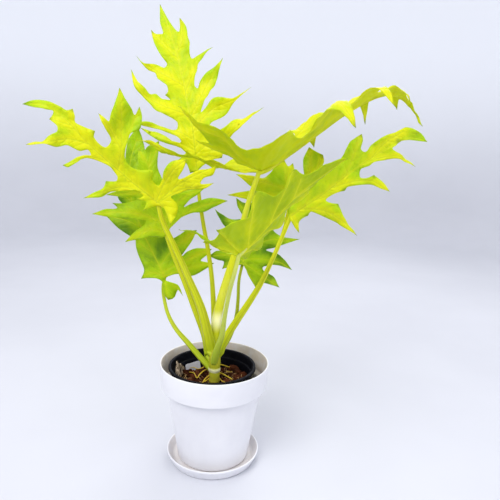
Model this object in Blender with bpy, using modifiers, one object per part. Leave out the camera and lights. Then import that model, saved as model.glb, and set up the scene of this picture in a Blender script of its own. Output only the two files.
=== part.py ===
"""A potted philodendron selloum: nine cut leaves on a short stem, in soil, in a nursery pot, a cover pot and a saucer.

Metres, +Z up. The origin is the middle of the saucer's underside and +Y points away from the viewer.
Leaves that face the viewer are drawn as they are seen from the viewing point below, each point being a
column and a row of a 500 by 500 view, with its distance behind the pot's axis as a real size. The two
leaves seen edge on are drawn flat in millimetres and bent along their midribs.
"""
import math

import bmesh
import bpy
from mathutils import Vector, geometry, noise

MM = 0.001
GAP = 0.3

# Driving sizes of the pots, in millimetres
RIM_RADIUS = 75.0
RIM_HEIGHT = 144.5
COLLAR_HEIGHT = 34.5
BODY_TOP_RADIUS = 65.0
BODY_FOOT_RADIUS = 49.5
POT_WALL = 2.2
POT_FOOT = 5.0
SAUCER_RIM_RADIUS = 65.0
SAUCER_FOOT_RADIUS = 58.4
SAUCER_HEIGHT = 15.5
SAUCER_FLOOR = POT_FOOT - GAP
NURSERY_RIM_RADIUS = 60.0
NURSERY_FOOT_RADIUS = 37.5
NURSERY_RIM_HEIGHT = 141.0
NURSERY_WALL = 1.2
NURSERY_CENTRE = (-3.2, -4.0)
NURSERY_FOOT = POT_FOOT + 3.0 + GAP
SOIL_HEIGHT = 113.0
SOIL_LUMPS = 2.6
TURN_STEPS = 48

# Driving sizes of the plant, in millimetres
STEM_PLACE = (0.0, -12.0)
STEM_RADIUS = 7.2
STEM_FOOT = 70.0
STEM_NODE_HEIGHT = 139.0
STEM_TOP = 158.0
BLADE_THICKNESS = 0.8
RIB_THICKNESS = 2.4
PETIOLE_SIDES_RESOLUTION = 2
LATTICE = 9.0
MARGIN_STEPS = 2

# The viewing point: where it is, how it is turned, and its focal length in columns of the view
VIEW_PLACE = Vector((0.0, -663.5, 434.75))
VIEW_DOWN = math.radians(11.263)
VIEW_ROLL = math.radians(1.996)
VIEW_RIGHT = math.radians(3.772)
VIEW_FOCUS = 508.4
VIEW_CENTRE = 250.0


def tip(column, row):
    """A margin point that ends a lobe in a sharp tip."""
    return (column, row, True)


# Leaves seen face on. Midrib points are column, row and depth. The margin runs clockwise from the base.
# Fold is how far each half rises towards the viewer for a millimetre across, left and right of the midrib.
TOP_LEAF = dict(
    midrib=[(197, 170, 30), (195, 150, 30), (193, 132, 34), (189, 110, 42), (184, 85, 54), (178, 58, 68),
            (170, 32, 84), (160, 4, 104)],
    margin=[(197, 171), tip(190, 173), (186, 163), tip(178, 160), (186, 152), (178, 147), (165, 143), (153, 137),
            tip(140, 128), (152, 131), (166, 136), (176, 144), (181, 141), (172, 133), (160, 130), (148, 127),
            tip(132, 124), (147, 121), (160, 126), (172, 129), (177, 128), (177, 122), (168, 116), (157, 111),
            (151, 105), (143, 97), (134, 86), tip(131, 69), (139, 83), (145, 88), (150, 94), (156, 94), (163, 99),
            (170, 99), tip(165, 95), (168, 91), (166, 85), (158, 79), (155, 73), (148, 70), (143, 65), tip(136, 56),
            (144, 63), (155, 64), (164, 67), (167, 63), (160, 54), (154, 43), tip(151, 30), (157, 34), (163, 33),
            (160, 22), tip(160, 4), (168, 19), (175, 29), (179, 31), tip(180, 18), (186, 26), (188, 37), (190, 45),
            (190, 55), (192, 58), (199, 55), tip(213, 47), (204, 56), (198, 66), (195, 78), (195, 86), (198, 88),
            (200, 80), (208, 71), (217, 65), tip(223, 58), (219, 71), (216, 83), (209, 93), (204, 102), (201, 112),
            (206, 107), (213, 98), (222, 97), (233, 98), tip(251, 87), (235, 101), (227, 113), (212, 123), (209, 130),
            (218, 130), (226, 126), (234, 119), (245, 117), tip(264, 107), (250, 118), (240, 128), (233, 134),
            (226, 145), tip(222, 158), (212, 160), (204, 165)],
    fold=(0.22, 0.30), curl=0.0016, wave=2.5, waves=6.0, behind=True, seat=-0.5,
    petiole=[(214, 336, 2, 4.6), (214, 318, 8, 3.9), (212, 280, 16, 3.2), (208, 250, 22, 3.0), (203, 222, 28, 2.8),
             (199, 195, 33, 2.6)], sheath=0.16)

UPPER_LEFT_LEAF = dict(
    midrib=[(158, 203, -36), (147, 194, -40), (133, 183, -44), (118, 170, -48), (105, 159, -52), (92, 147, -56),
            (80, 135, -59), (66, 120, -60), (52, 109, -58), (38, 104, -53), (24, 104, -46)],
    margin=[(157, 206), tip(143, 211), (146, 202), tip(136, 199), (143, 196), (137, 190), (125, 191), (112, 192),
            (102, 197), tip(83, 198), (95, 192), (103, 188), tip(106, 181), (116, 181), (117, 176), (110, 167),
            (98, 161), (85, 158), (76, 163), (68, 167), tip(62, 165), (72, 160), (77, 157), (85, 155), (91, 155),
            (88, 150), (80, 151), (73, 148), (66, 145), (56, 147), (45, 144), (35, 145), tip(26, 145), (34, 141),
            (42, 141), (49, 136), (57, 132), (57, 126), tip(49, 119), (53, 111), (44, 109), (33, 107), tip(22, 104),
            (33, 100), (48, 101), (60, 106), (66, 110), tip(72, 109), (75, 116), (75, 122), (84, 127), tip(95, 131),
            (94, 138), (105, 147), (111, 140), (105, 128), tip(98, 113), (104, 117), (109, 121), (111, 112),
            (116, 100), tip(120, 88), (125, 98), (131, 108), (135, 115), tip(139, 106), (142, 116), (140, 129),
            (130, 135), (126, 147), (125, 158), (130, 166), (140, 170), (153, 170), (152, 180), (158, 186),
            (162, 180), (164, 170), (172, 161), tip(187, 159), (184, 168), (178, 179), (189, 175), (198, 170),
            (207, 169), tip(217, 166), (213, 175), (204, 178), (201, 184), tip(214, 183), (204, 189), (190, 190),
            (177, 194), (171, 197), (177, 204), (177, 214), tip(170, 225), (167, 215), (163, 208)],
    fold=(0.25, 0.20), curl=0.0016, wave=2.5, waves=5.0, behind=True, seat=-0.6,
    petiole=[(211, 350, -10, 7.2), (208, 335, -14, 6.8), (201, 308, -20, 5.6), (188, 277, -25, 4.3),
             (175, 248, -28, 3.7), (163, 222, -30, 3.2)], sheath=0.2)

LOW_LEFT_LEAF = dict(
    midrib=[(165, 277, 26), (156, 259, 30), (147, 241, 35), (139, 222, 40), (132, 202, 46), (129, 180, 53),
            (131, 158, 62), (138, 136, 74)],
    margin=[(165, 280), (178, 285), tip(183, 296), (178, 290), (174, 298), tip(168, 300), (164, 293), (162, 282),
            (156, 278), tip(141, 279), (144, 270), (140, 259), (136, 247), (135, 238), (130, 236), (118, 228),
            tip(106, 216), (120, 216), (126, 208), (119, 200), (115, 190), tip(106, 186), (118, 180), (124, 168),
            (126, 150), (129, 138), tip(138, 127), (143, 140), (147, 160), (154, 172), (152, 190), (158, 205),
            (160, 225), (168, 238), (175, 238), (184, 232), tip(197, 230), (192, 241), (181, 257), (188, 251),
            (197, 248), tip(212, 249), (206, 256), (201, 261), tip(214, 263), (206, 269), (193, 276), (182, 274),
            (172, 275)],
    fold=(0.10, -0.02), curl=0.0004, wave=2.0, waves=4.0, behind=True, seat=-0.2,
    petiole=[(210, 368, -7, 4.4), (200, 357, -3, 4.0), (188, 343, 3, 3.6), (176, 329, 10, 3.0), (168, 314, 19, 2.6),
             (164, 298, 29, 2.4), (163, 287, 32, 2.2)], sheath=0.14)

SECOND_LEFT_LEAF = dict(
    midrib=[(166, 234, 4), (162, 220, 6), (157, 205, 8), (152, 188, 11), (149, 170, 15), (151, 150, 20)],
    margin=[(164, 237), (152, 237), (140, 239), tip(125, 242), (134, 232), (145, 224), (146, 220), (128, 219),
            (110, 217), tip(92, 214), (105, 209), (117, 208), tip(112, 203), (124, 203), (136, 200), (136, 197),
            (120, 197), tip(106, 195), (117, 191), (132, 188), (140, 178), (138, 160), tip(139, 148), (143, 152),
            (148, 146), tip(159, 141), (158, 155), (158, 168), (163, 180), (172, 188), (186, 188), tip(204, 189),
            (197, 195), (189, 200), (184, 207), (192, 203), (206, 199), (216, 198), tip(228, 201), (214, 207),
            (204, 212), (192, 213), (180, 218), (173, 224)],
    fold=(0.10, 0.08), curl=0.0004, wave=1.8, waves=4.0, behind=True, seat=-0.2,
    petiole=[(208, 356, 6, 5.0), (204, 335, 8, 4.2), (194, 308, 9, 3.7), (184, 281, 9, 3.3), (173, 254, 9, 3.0)],
    sheath=0.13)

LOW_RIGHT_LEAF = dict(
    midrib=[(243, 262, 40), (247, 250, 42), (253, 237, 45), (260, 222, 49), (266, 207, 54), (270, 190, 60)],
    margin=[(244, 265), (248, 275), tip(257, 290), (260, 283), (268, 284), tip(280, 288), (274, 277), (264, 271),
            (263, 267), (272, 265), (281, 266), tip(292, 270), (285, 260), (278, 254), (266, 250), (276, 247),
            (286, 244), tip(300, 239), (288, 238), (276, 233), (272, 225), (280, 215), tip(285, 200), (275, 203),
            tip(272, 180), (266, 192), (258, 200), (247, 203), tip(236, 198), (239, 209), (243, 218), (233, 219),
            (224, 216), tip(215, 209), (221, 222), (230, 232), (232, 242), (224, 250), (216, 251), tip(209, 256),
            (218, 260), (224, 262), tip(222, 269), (233, 266)],
    fold=(0.15, 0.12), curl=0.0006, wave=2.0, waves=4.0, behind=True, seat=0.5,
    petiole=[(221, 350, 6, 3.8), (230, 336, 14, 3.2), (236, 318, 22, 2.8), (238, 300, 30, 2.4), (239, 280, 38, 2.2)],
    sheath=0.2)

RIGHT_LEAF = dict(
    midrib=[(291, 216, -24), (302, 208, -26), (316, 199, -28), (330, 189, -30), (343, 178, -32), (358, 167, -33),
            (374, 156, -33), (392, 146, -31), (408, 138, -27), (425, 140, -20)],
    margin=[(290, 219), (295, 228), tip(299, 233), (299, 223), (304, 218), tip(308, 216), (312, 212), (328, 219),
            (343, 227), tip(358, 236), (350, 226), (343, 215), tip(339, 204), (332, 203), (326, 200), (336, 193),
            tip(345, 191), (348, 187), (360, 185), (373, 185), (383, 189), tip(390, 192), (384, 183), tip(374, 175),
            (366, 178), (360, 177), (361, 169), (369, 166), (374, 162), (386, 160), (400, 159), tip(415, 167),
            (405, 157), (392, 149), (396, 145), tip(398, 141), (408, 140), (418, 141), tip(427, 142), (422, 134),
            (414, 129), (406, 128), (396, 132), (386, 135), (377, 140), (371, 146), (365, 152), (361, 148),
            (363, 140), tip(362, 134), (355, 138), (350, 142), (345, 150), (341, 159), (330, 165), (318, 173),
            tip(306, 181), (300, 190), (297, 198), (294, 204), tip(287, 207), (288, 213)],
    fold=(0.35, -0.08), curl=0.0008, wave=2.0, waves=6.0, behind=True, seat=0.5,
    petiole=[(220, 352, -12, 5.4), (226, 338, -13, 5.2), (236, 322, -14, 4.8), (248, 304, -16, 4.3),
             (261, 283, -16, 3.6), (273, 258, -16, 3.0), (282, 237, -16, 2.8)], sheath=0.2)

BACK_RIGHT_LEAF = dict(
    midrib=[(291, 198, 30), (289, 188, 32), (286, 178, 35), (284, 162, 40)],
    margin=[(291, 201), (282, 204), (270, 208), (258, 204), (245, 199), tip(227, 195), (240, 192), (254, 190),
            (250, 186), tip(236, 174), (250, 175), (262, 178), (270, 173), (276, 164), tip(284, 159), (288, 166),
            tip(293, 163), (296, 175), (299, 183), (304, 176), (303, 160), tip(309, 147), (317, 152), tip(323, 155),
            (324, 163), (316, 176), (303, 187)],
    fold=(0.12, 0.12), curl=0.0006, wave=2.0, waves=3.0, behind=True, seat=0.5,
    petiole=[(220, 348, 4, 4.0), (227, 337, 8, 3.6), (238, 319, 14, 3.2), (250, 301, 20, 3.0), (262, 281, 26, 2.8),
             (274, 256, 31, 2.7), (284, 230, 34, 2.6)], sheath=0.15)

# Leaves seen edge on. The margin is one half, drawn flat from base to tip: millimetres along the midrib and
# away from it. Sides are the directions in which the near and the far half spread, at the base and at the tip.
ARCHING_LEAF = dict(
    midrib=[(188, 148, -20), (224, 163, -17), (259, 173, -14), (290, 154, -12), (320, 132, -10), (345, 114, -8),
            (372, 99, -4), (392, 95, 0), (409, 105, 4), (422, 127, 8)],
    base=2,
    margin=[(0, 2), (-16, 14), (-44, 20), tip(-74, 26), (-58, 40), (-66, 62), tip(-86, 84), (-48, 78), (-20, 58),
            (-2, 52), (12, 58), tip(31, 72), (36, 50), (42, 28), (52, 18), (60, 30), (64, 48), (76, 60),
            (92, 70), tip(111, 75), (106, 56), (98, 24), (106, 14), (120, 24), (142, 38), tip(165, 52), (156, 28),
            (148, 14), (160, 11), (176, 20), tip(206, 27), (202, 13), (212, 8), tip(252, 0)],
    near=((-0.12, -0.78, 0.58), (0.05, -0.88, 0.40)),
    far=((-0.86, 0.24, 0.18), (0.10, 0.84, 0.20)),
    curl=0.0008, droop=0.06, wave=2.0, waves=6.0, behind=False, seat=0.5,
    petiole=[(215, 345, -2, 8.0), (216, 325, -3, 7.0), (221, 300, -6, 5.8), (229, 273, -10, 5.0),
             (236, 250, -14, 4.3), (244, 218, -18, 3.6), (251, 195, -20, 3.2)], sheath=0.17)

FRONT_LEAF = dict(
    midrib=[(212, 248, -80), (226, 255, -77), (239, 255, -74), (256, 238, -77), (277, 215, -81), (300, 192, -86),
            (325, 173, -92), (348, 158, -99)],
    base=2,
    margin=[(0, 2), (-14, 14), (-30, 20), tip(-52, 30), (-38, 40), (-40, 54), tip(-56, 72), (-24, 62), (-6, 50),
            (8, 52), tip(16, 66), (30, 54), (40, 40), (50, 38), (60, 46), tip(74, 58), (80, 42), (86, 30),
            (98, 28), (108, 34), tip(122, 42), (124, 28), (130, 19), (142, 14), (156, 13), tip(186, 0)],
    near=((-0.55, -0.62, 0.56), (-0.42, -0.72, 0.52)),
    far=((0.28, 0.66, -0.06), (0.22, 0.80, -0.25)),
    curl=0.0012, droop=0.0, wave=2.0, waves=5.0, behind=False, seat=0.5,
    petiole=[(214, 362, -17, 5.0), (217, 350, -25, 4.4), (222, 335, -35, 3.6), (225, 315, -46, 2.8),
             (230, 290, -61, 2.6), (235, 272, -75, 2.4)], sheath=0.12)

LEAVES = dict(top=TOP_LEAF, upper_left=UPPER_LEFT_LEAF, low_left=LOW_LEFT_LEAF, second_left=SECOND_LEFT_LEAF,
              arching=ARCHING_LEAF, front=FRONT_LEAF, low_right=LOW_RIGHT_LEAF, right=RIGHT_LEAF,
              back_right=BACK_RIGHT_LEAF)

# Colours, roughness and metallic values
COLOURS = dict(
    glazed_white=((0.74, 0.74, 0.80), 0.35), black_plastic=((0.02, 0.02, 0.022), 0.5),
    bark_soil=((0.13, 0.06, 0.035), 0.95), stem_green=((0.42, 0.50, 0.06), 0.5),
    petiole_green=((0.55, 0.66, 0.05), 0.45), bright_leaf=((0.55, 0.68, 0.02), 0.45),
    dark_leaf=((0.20, 0.34, 0.02), 0.45), dry_sheath=((0.36, 0.22, 0.12), 0.9),
    tag_grey=((0.62, 0.62, 0.68), 0.6))


# Scene helpers

def clear_scene():
    for thing in list(bpy.data.objects):
        bpy.data.objects.remove(thing, do_unlink=True)


def new_collection(name):
    group = bpy.data.collections.new(name)
    bpy.context.scene.collection.children.link(group)
    return group


def make_material(name):
    colour, roughness = COLOURS[name]
    material = bpy.data.materials.get(name)
    if material:
        return material
    material = bpy.data.materials.new(name)
    material.use_nodes = True
    shader = material.node_tree.nodes["Principled BSDF"]
    shader.inputs["Base Color"].default_value = (*colour, 1.0)
    shader.inputs["Roughness"].default_value = roughness
    shader.inputs["Metallic"].default_value = 0.0
    return material


def add_object(name, data, colour, group):
    thing = bpy.data.objects.new(name, data)
    group.objects.link(thing)
    own = make_material(colour).copy()
    own.name = name + "_" + colour
    data.materials.append(own)
    return thing


def bake(thing, weld=0.00001):
    """Turns a curve, or a mesh with modifiers, into a plain mesh object of the same name."""
    graph = bpy.context.evaluated_depsgraph_get()
    mesh = bpy.data.meshes.new_from_object(thing.evaluated_get(graph))
    work = bmesh.new()
    work.from_mesh(mesh)
    if weld:
        bmesh.ops.remove_doubles(work, verts=work.verts, dist=weld)
    bmesh.ops.recalc_face_normals(work, faces=work.faces)
    work.to_mesh(mesh)
    work.free()
    name = thing.name
    group = thing.users_collection[0]
    bpy.data.objects.remove(thing, do_unlink=True)
    baked = bpy.data.objects.new(name, mesh)
    group.objects.link(baked)
    return baked


def cut(thing, cutter, operation="DIFFERENCE"):
    change = thing.modifiers.new("cut", "BOOLEAN")
    change.operation = operation
    change.solver = "EXACT"
    change.object = cutter


# Curves through points

def spline_point(points, place):
    """A smooth curve through points of any dimension; place runs from 0 to 1."""
    last = len(points) - 1
    at = min(max(place, 0.0), 1.0) * last
    index = min(int(at), last - 1)
    t = at - index
    before = points[max(index - 1, 0)]
    start = points[index]
    end = points[index + 1]
    after = points[min(index + 2, last)]
    result = []
    for p0, p1, p2, p3 in zip(before, start, end, after):
        slope_in = (p2 - p0) * 0.5
        slope_out = (p3 - p1) * 0.5
        result.append((2 * t**3 - 3 * t**2 + 1) * p1 + (t**3 - 2 * t**2 + t) * slope_in
                      + (3 * t**2 - 2 * t**3) * p2 + (t**3 - t**2) * slope_out)
    return result


def smooth_margin(margin, steps, closed=True):
    """The margin with rounded stretches between its points and sharp corners at its tips."""
    count = len(margin)
    outline = []
    for index in range(count if closed else count - 1):
        before = margin[index - 1] if closed or index else margin[0]
        start = margin[index]
        end = margin[(index + 1) % count]
        after = margin[(index + 2) % count] if closed or index + 2 < count else end
        chord = Vector(end[:2]) - Vector(start[:2])
        leave = chord * 0.5 if len(start) > 2 else (Vector(end[:2]) - Vector(before[:2])) * 0.45
        arrive = chord * 0.5 if len(end) > 2 else (Vector(after[:2]) - Vector(start[:2])) * 0.45
        leave *= min(1.0, chord.length / max(leave.length, 0.001))
        arrive *= min(1.0, chord.length / max(arrive.length, 0.001))
        for step in range(steps):
            t = step / steps
            outline.append((2 * t**3 - 3 * t**2 + 1) * Vector(start[:2]) + (t**3 - 2 * t**2 + t) * leave
                           + (3 * t**2 - 2 * t**3) * Vector(end[:2]) + (t**3 - t**2) * arrive)
    if not closed:
        outline.append(Vector(margin[-1][:2]))
    return outline


# The view

def view_axes():
    forward = Vector((math.sin(VIEW_RIGHT) * math.cos(VIEW_DOWN), math.cos(VIEW_RIGHT) * math.cos(VIEW_DOWN),
                      -math.sin(VIEW_DOWN)))
    right = Vector((math.cos(VIEW_RIGHT), -math.sin(VIEW_RIGHT), 0.0))
    up = right.cross(forward)
    rolled_right = right * math.cos(VIEW_ROLL) + up * math.sin(VIEW_ROLL)
    rolled_up = up * math.cos(VIEW_ROLL) - right * math.sin(VIEW_ROLL)
    return forward, rolled_right, rolled_up


FORWARD, RIGHTWARD, UPWARD = view_axes()


def seen_point(column, row, depth):
    """The point seen at a column and row, at a depth in millimetres behind the pot's axis."""
    ray = (FORWARD * VIEW_FOCUS + RIGHTWARD * (column - VIEW_CENTRE) + UPWARD * (VIEW_CENTRE - row))
    reach = (depth - VIEW_PLACE.y) / ray.y
    return VIEW_PLACE + ray * reach


# Blades

def nearest_on_midrib(samples, place):
    """The smoothed fraction along the midrib, the distance from it and the side, for a point of the view."""
    nearest = None
    total = 0.0
    fraction = 0.0
    for index, sample in enumerate(samples):
        away = place - sample
        weight = 1.0 / (away.length_squared + 16.0) ** 2
        total += weight
        fraction += weight * index
        if nearest is None or away.length < nearest[0]:
            forward = samples[min(index + 1, len(samples) - 1)] - samples[max(index - 1, 0)]
            side = forward.x * away.y - forward.y * away.x
            nearest = (away.length, side)
    return fraction / total / (len(samples) - 1), nearest[0], nearest[1]


MIDRIB_SAMPLES = 40
LOBE_ROOT = 55.0
COLUMN_SIZE = 1.42


def facing_point(leaf, samples, place):
    """Where a point of a leaf seen face on lies."""
    fraction, columns_away, side = nearest_on_midrib(samples, place)
    depth = spline_point(leaf["midrib"], fraction)[2]
    away = columns_away * COLUMN_SIZE
    rise = leaf["fold"][0] if side < 0 else leaf["fold"][1]
    ripple = leaf["wave"] * math.sin(2 * math.pi * leaf["waves"] * fraction + (1.3 if side < 0 else 0.0))
    depth += -rise * away + leaf["curl"] * away * away + ripple * min(away / 30.0, 1.5)
    return seen_point(place.x, place.y, depth)


def swept_point(leaf, place):
    """Where a point of a leaf drawn flat lies, once the leaf is bent along its midrib."""
    points = leaf["midrib"]
    base_fraction = leaf["base"] / (len(points) - 1)
    length = leaf["margin"][-1][0]
    fraction = place.x / length
    if fraction >= 0.0:
        along = base_fraction + fraction * (1.0 - base_fraction)
    else:
        along = base_fraction * (1.0 + fraction / 0.36)
    middle = seen_point(*spline_point(points, along))
    first, last = leaf["near"] if place.y > 0 else leaf["far"]
    blend = min(max(fraction, 0.0), 1.0)
    side = Vector(first) * (1.0 - blend) + Vector(last) * blend
    away = abs(place.y)
    phase = 1.3 if place.y > 0 else 0.0
    ripple = leaf["wave"] * math.sin(2 * math.pi * leaf["waves"] * fraction + phase) * min(away / 30.0, 1.5)
    lobe = max(away - LOBE_ROOT * (1.0 - blend), 0.0)
    droop = leaf["curl"] * away * away + leaf["droop"] * blend * lobe * lobe
    return middle + side * away + Vector((0.0, 0.0, ripple - droop))


def flat_outline(leaf, steps):
    """The whole margin of a leaf in its own drawing plane."""
    if "base" not in leaf:
        return smooth_margin(leaf["margin"], steps)
    half = smooth_margin(leaf["margin"], steps, closed=False)
    mirrored = [Vector((point.x, -point.y)) for point in reversed(half[:-1])]
    return half + mirrored


def midrib_samples(leaf):
    if "base" in leaf:
        length = leaf["margin"][-1][0]
        return [Vector((length * (0.02 + 0.94 * index / MIDRIB_SAMPLES), 0.0)) for index in range(MIDRIB_SAMPLES + 1)]
    return [Vector(spline_point(leaf["midrib"], 0.015 + 0.965 * index / MIDRIB_SAMPLES)[:2])
            for index in range(MIDRIB_SAMPLES + 1)]


def inside(outline, place):
    """Whether a point lies inside the outline, and its distance from it."""
    crossings = False
    closest = 1.0e9
    for index, end in enumerate(outline):
        start = outline[index - 1]
        if (start.y > place.y) != (end.y > place.y):
            if place.x < start.x + (end.x - start.x) * (place.y - start.y) / (end.y - start.y):
                crossings = not crossings
        edge = end - start
        share = min(max((place - start).dot(edge) / max(edge.length_squared, 1e-9), 0.0), 1.0)
        closest = min(closest, (place - start - edge * share).length)
    return crossings, closest


def triangulated(outline, midrib, spacing):
    """Triangles that fill the outline, with the midrib as edges and a staggered lattice of points inside."""
    points = list(outline)
    edges = []
    previous = None
    kept_midrib = []
    for sample in midrib:
        within, margin_distance = inside(outline, sample)
        if within and margin_distance > spacing * 0.12:
            if previous is not None and (sample - points[previous]).length < spacing * 0.8:
                continue
            points.append(sample)
            kept_midrib.append(sample)
            if previous is not None:
                edges.append((previous, len(points) - 1))
            previous = len(points) - 1
    low = Vector((min(point.x for point in outline), min(point.y for point in outline)))
    high = Vector((max(point.x for point in outline), max(point.y for point in outline)))
    rows = int((high.y - low.y) / (spacing * 0.87)) + 1
    columns = int((high.x - low.x) / spacing) + 2
    for row in range(rows):
        for column in range(columns):
            place = low + Vector(((column + 0.5 * (row % 2)) * spacing, (row + 0.5) * spacing * 0.87))
            within, margin_distance = inside(outline, place)
            if not within or margin_distance < spacing * 0.3:
                continue
            if min(((place - sample).length for sample in kept_midrib), default=spacing) < spacing * 0.5:
                continue
            points.append(place)
    result = geometry.delaunay_2d_cdt(points, edges, [list(range(len(outline)))], 1, 0.0001)
    return result[0], result[2], kept_midrib


def make_blade(name, leaf, colour, group):
    outline = flat_outline(leaf, MARGIN_STEPS)
    samples = midrib_samples(leaf)
    spacing = LATTICE * (COLUMN_SIZE if "base" in leaf else 1.0)
    flat, triangles, rib = triangulated(outline, samples, spacing)
    placed = []
    for place in flat:
        if "base" in leaf:
            placed.append(swept_point(leaf, place) * MM)
        else:
            placed.append(facing_point(leaf, samples, place) * MM)
    mesh = bpy.data.meshes.new(name)
    mesh.from_pydata(placed, [], [list(triangle) for triangle in triangles])
    blade = add_object(name, mesh, colour, group)
    thick = blade.vertex_groups.new(name="rib")
    for index, place in enumerate(flat):
        near_rib = min((place - sample).length for sample in rib)
        share = 1.0 if near_rib < spacing * 0.2 else BLADE_THICKNESS / RIB_THICKNESS
        thick.add([index], share, "REPLACE")
    shell = blade.modifiers.new("thickness", "SOLIDIFY")
    shell.thickness = RIB_THICKNESS * MM
    shell.offset = 0.0
    shell.vertex_group = "rib"
    shell.thickness_vertex_group = 0.0
    return blade


# Petioles and stem

def petiole_route(leaf, count):
    """Points with a radius along a petiole, from the stem to just short of the blade."""
    points = list(leaf["petiole"])
    base = leaf["midrib"][leaf.get("base", 0)]
    radius = points[-1][3] * 0.94
    clearance = radius + RIB_THICKNESS / 2 + GAP + leaf["seat"]
    points.append((base[0], base[1], base[2] + (clearance if leaf["behind"] else -clearance), radius))
    route = []
    for index in range(count):
        column, row, depth, size = spline_point(points, index / (count - 1))
        route.append((seen_point(column, row, depth), size))
    return route


def tube(name, route, colour, group):
    curve = bpy.data.curves.new(name, "CURVE")
    curve.dimensions = "3D"
    curve.bevel_depth = MM
    curve.bevel_resolution = PETIOLE_SIDES_RESOLUTION
    curve.use_fill_caps = True
    line = curve.splines.new("POLY")
    line.points.add(len(route) - 1)
    for point, (place, radius) in zip(line.points, route):
        point.co = (*(place * MM), 1.0)
        point.radius = radius
    return add_object(name, curve, colour, group)


PETIOLE_POINTS = 25


def split_route(leaf):
    """The sheath's share of a petiole's route, which belongs to the stem, and the free petiole's."""
    route = petiole_route(leaf, PETIOLE_POINTS)
    last_sheath = max(2, round(leaf["sheath"] * (PETIOLE_POINTS - 1)))
    seat, radius = route[last_sheath]
    onward = (route[last_sheath + 1][0] - seat).normalized()
    return route[:last_sheath + 1], [(seat + onward * GAP, radius)] + route[last_sheath + 1:]


def stem_axis(height):
    return Vector((STEM_PLACE[0], STEM_PLACE[1], height))


def make_stem(group, cutters):
    trunk_route = [(stem_axis(STEM_FOOT), STEM_RADIUS), (stem_axis(120.0), STEM_RADIUS),
                   (stem_axis(STEM_NODE_HEIGHT - 3), STEM_RADIUS), (stem_axis(STEM_NODE_HEIGHT), STEM_RADIUS + 0.9),
                   (stem_axis(STEM_NODE_HEIGHT + 3), STEM_RADIUS + 0.5), (stem_axis(STEM_TOP), STEM_RADIUS),
                   (stem_axis(STEM_TOP + 8), STEM_RADIUS * 0.6)]
    stem = tube("stem", trunk_route, "stem_green", group)
    stem = bake(stem)
    for name, leaf in LEAVES.items():
        sheath_route, _ = split_route(leaf)
        root_height = min(sheath_route[0][0].z, STEM_TOP)
        route = [(stem_axis(root_height - 4), sheath_route[0][1] * 0.8)] + sheath_route
        part = bake(tube("sheath_" + name, route, "stem_green", cutters))
        cut(stem, part, "UNION")
        stem = bake(stem, weld=None)
    for index, route in enumerate(root_routes()):
        part = bake(tube("root_" + str(index), route, "stem_green", cutters))
        cut(stem, part, "UNION")
        stem = bake(stem, weld=None)
    own = make_material("stem_green").copy()
    own.name = "stem_own"
    stem.data.materials.clear()
    stem.data.materials.append(own)
    return stem


ROOT_RADIUS = 1.1
ROOT_REST = SOIL_HEIGHT + SOIL_LUMPS + ROOT_RADIUS + GAP


def root_routes():
    """Young roots that leave the stem and lie on the soil: direction in degrees, length and bend."""
    routes = []
    for angle, length, bend in ((-35.0, 22.0, 0.6), (20.0, 17.0, -0.5), (-150.0, 20.0, 0.5), (165.0, 27.0, -0.6)):
        route = []
        for step in range(7):
            t = step / 6
            turn = math.radians(angle) + bend * t
            reach = 4.0 + length * t
            height = ROOT_REST + 8.0 * (1.0 - t) ** 2
            place = stem_axis(height) + Vector((math.cos(turn), math.sin(turn), 0.0)) * reach
            route.append((place, ROOT_RADIUS * (1.1 - 0.4 * t)))
        routes.append(route)
    return routes


def make_petiole(name, leaf, group):
    _, route = split_route(leaf)
    return tube(name, route, "petiole_green", group)


# Turned pots

def turned(name, profile, colour, group, centre=(0.0, 0.0)):
    """A profile of radius and height, turned once round."""
    mesh = bpy.data.meshes.new(name)
    points = [(centre[0] * 0 + radius * MM, 0.0, height * MM) for radius, height in profile]
    mesh.from_pydata(points, [(index, index + 1) for index in range(len(points) - 1)], [])
    pot = add_object(name, mesh, colour, group)
    pot.location = (centre[0] * MM, centre[1] * MM, 0.0)
    turn = pot.modifiers.new("turn", "SCREW")
    turn.steps = TURN_STEPS
    turn.render_steps = TURN_STEPS
    turn.use_merge_vertices = True
    turn.merge_threshold = 0.00005
    turn.use_normal_calculate = True
    return pot


def outer_pot_profile():
    step_height = RIM_HEIGHT - COLLAR_HEIGHT
    collar_radius = RIM_RADIUS - 2.5
    lip = 1.9
    inner = lambda height: (BODY_FOOT_RADIUS - POT_WALL + (BODY_TOP_RADIUS - BODY_FOOT_RADIUS)
                            * (height - POT_FOOT) / (step_height - POT_FOOT))
    return [(0.0, POT_FOOT + 3.0), (inner(POT_FOOT + 3.0) - 4.0, POT_FOOT + 3.0), (inner(POT_FOOT + 7.0), POT_FOOT + 7.0),
            (inner(step_height), step_height), (inner(step_height) + 1.0, step_height + 4.0),
            (collar_radius - POT_WALL - 1.0, step_height + 7.0), (RIM_RADIUS - lip - 0.4, RIM_HEIGHT - 1.0),
            (RIM_RADIUS - lip + 0.4, RIM_HEIGHT), (RIM_RADIUS - 0.4, RIM_HEIGHT), (RIM_RADIUS, RIM_HEIGHT - 0.8),
            (RIM_RADIUS - 0.1, RIM_HEIGHT - 4.0), (collar_radius, step_height + 1.2), (collar_radius - 1.2, step_height),
            (BODY_TOP_RADIUS + 0.5, step_height - 0.2), (BODY_TOP_RADIUS, step_height - 1.5),
            (BODY_FOOT_RADIUS + 0.5, POT_FOOT + 5.0), (BODY_FOOT_RADIUS - 0.7, POT_FOOT + 1.6),
            (BODY_FOOT_RADIUS - 3.5, POT_FOOT), (0.0, POT_FOOT)][::-1]


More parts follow.
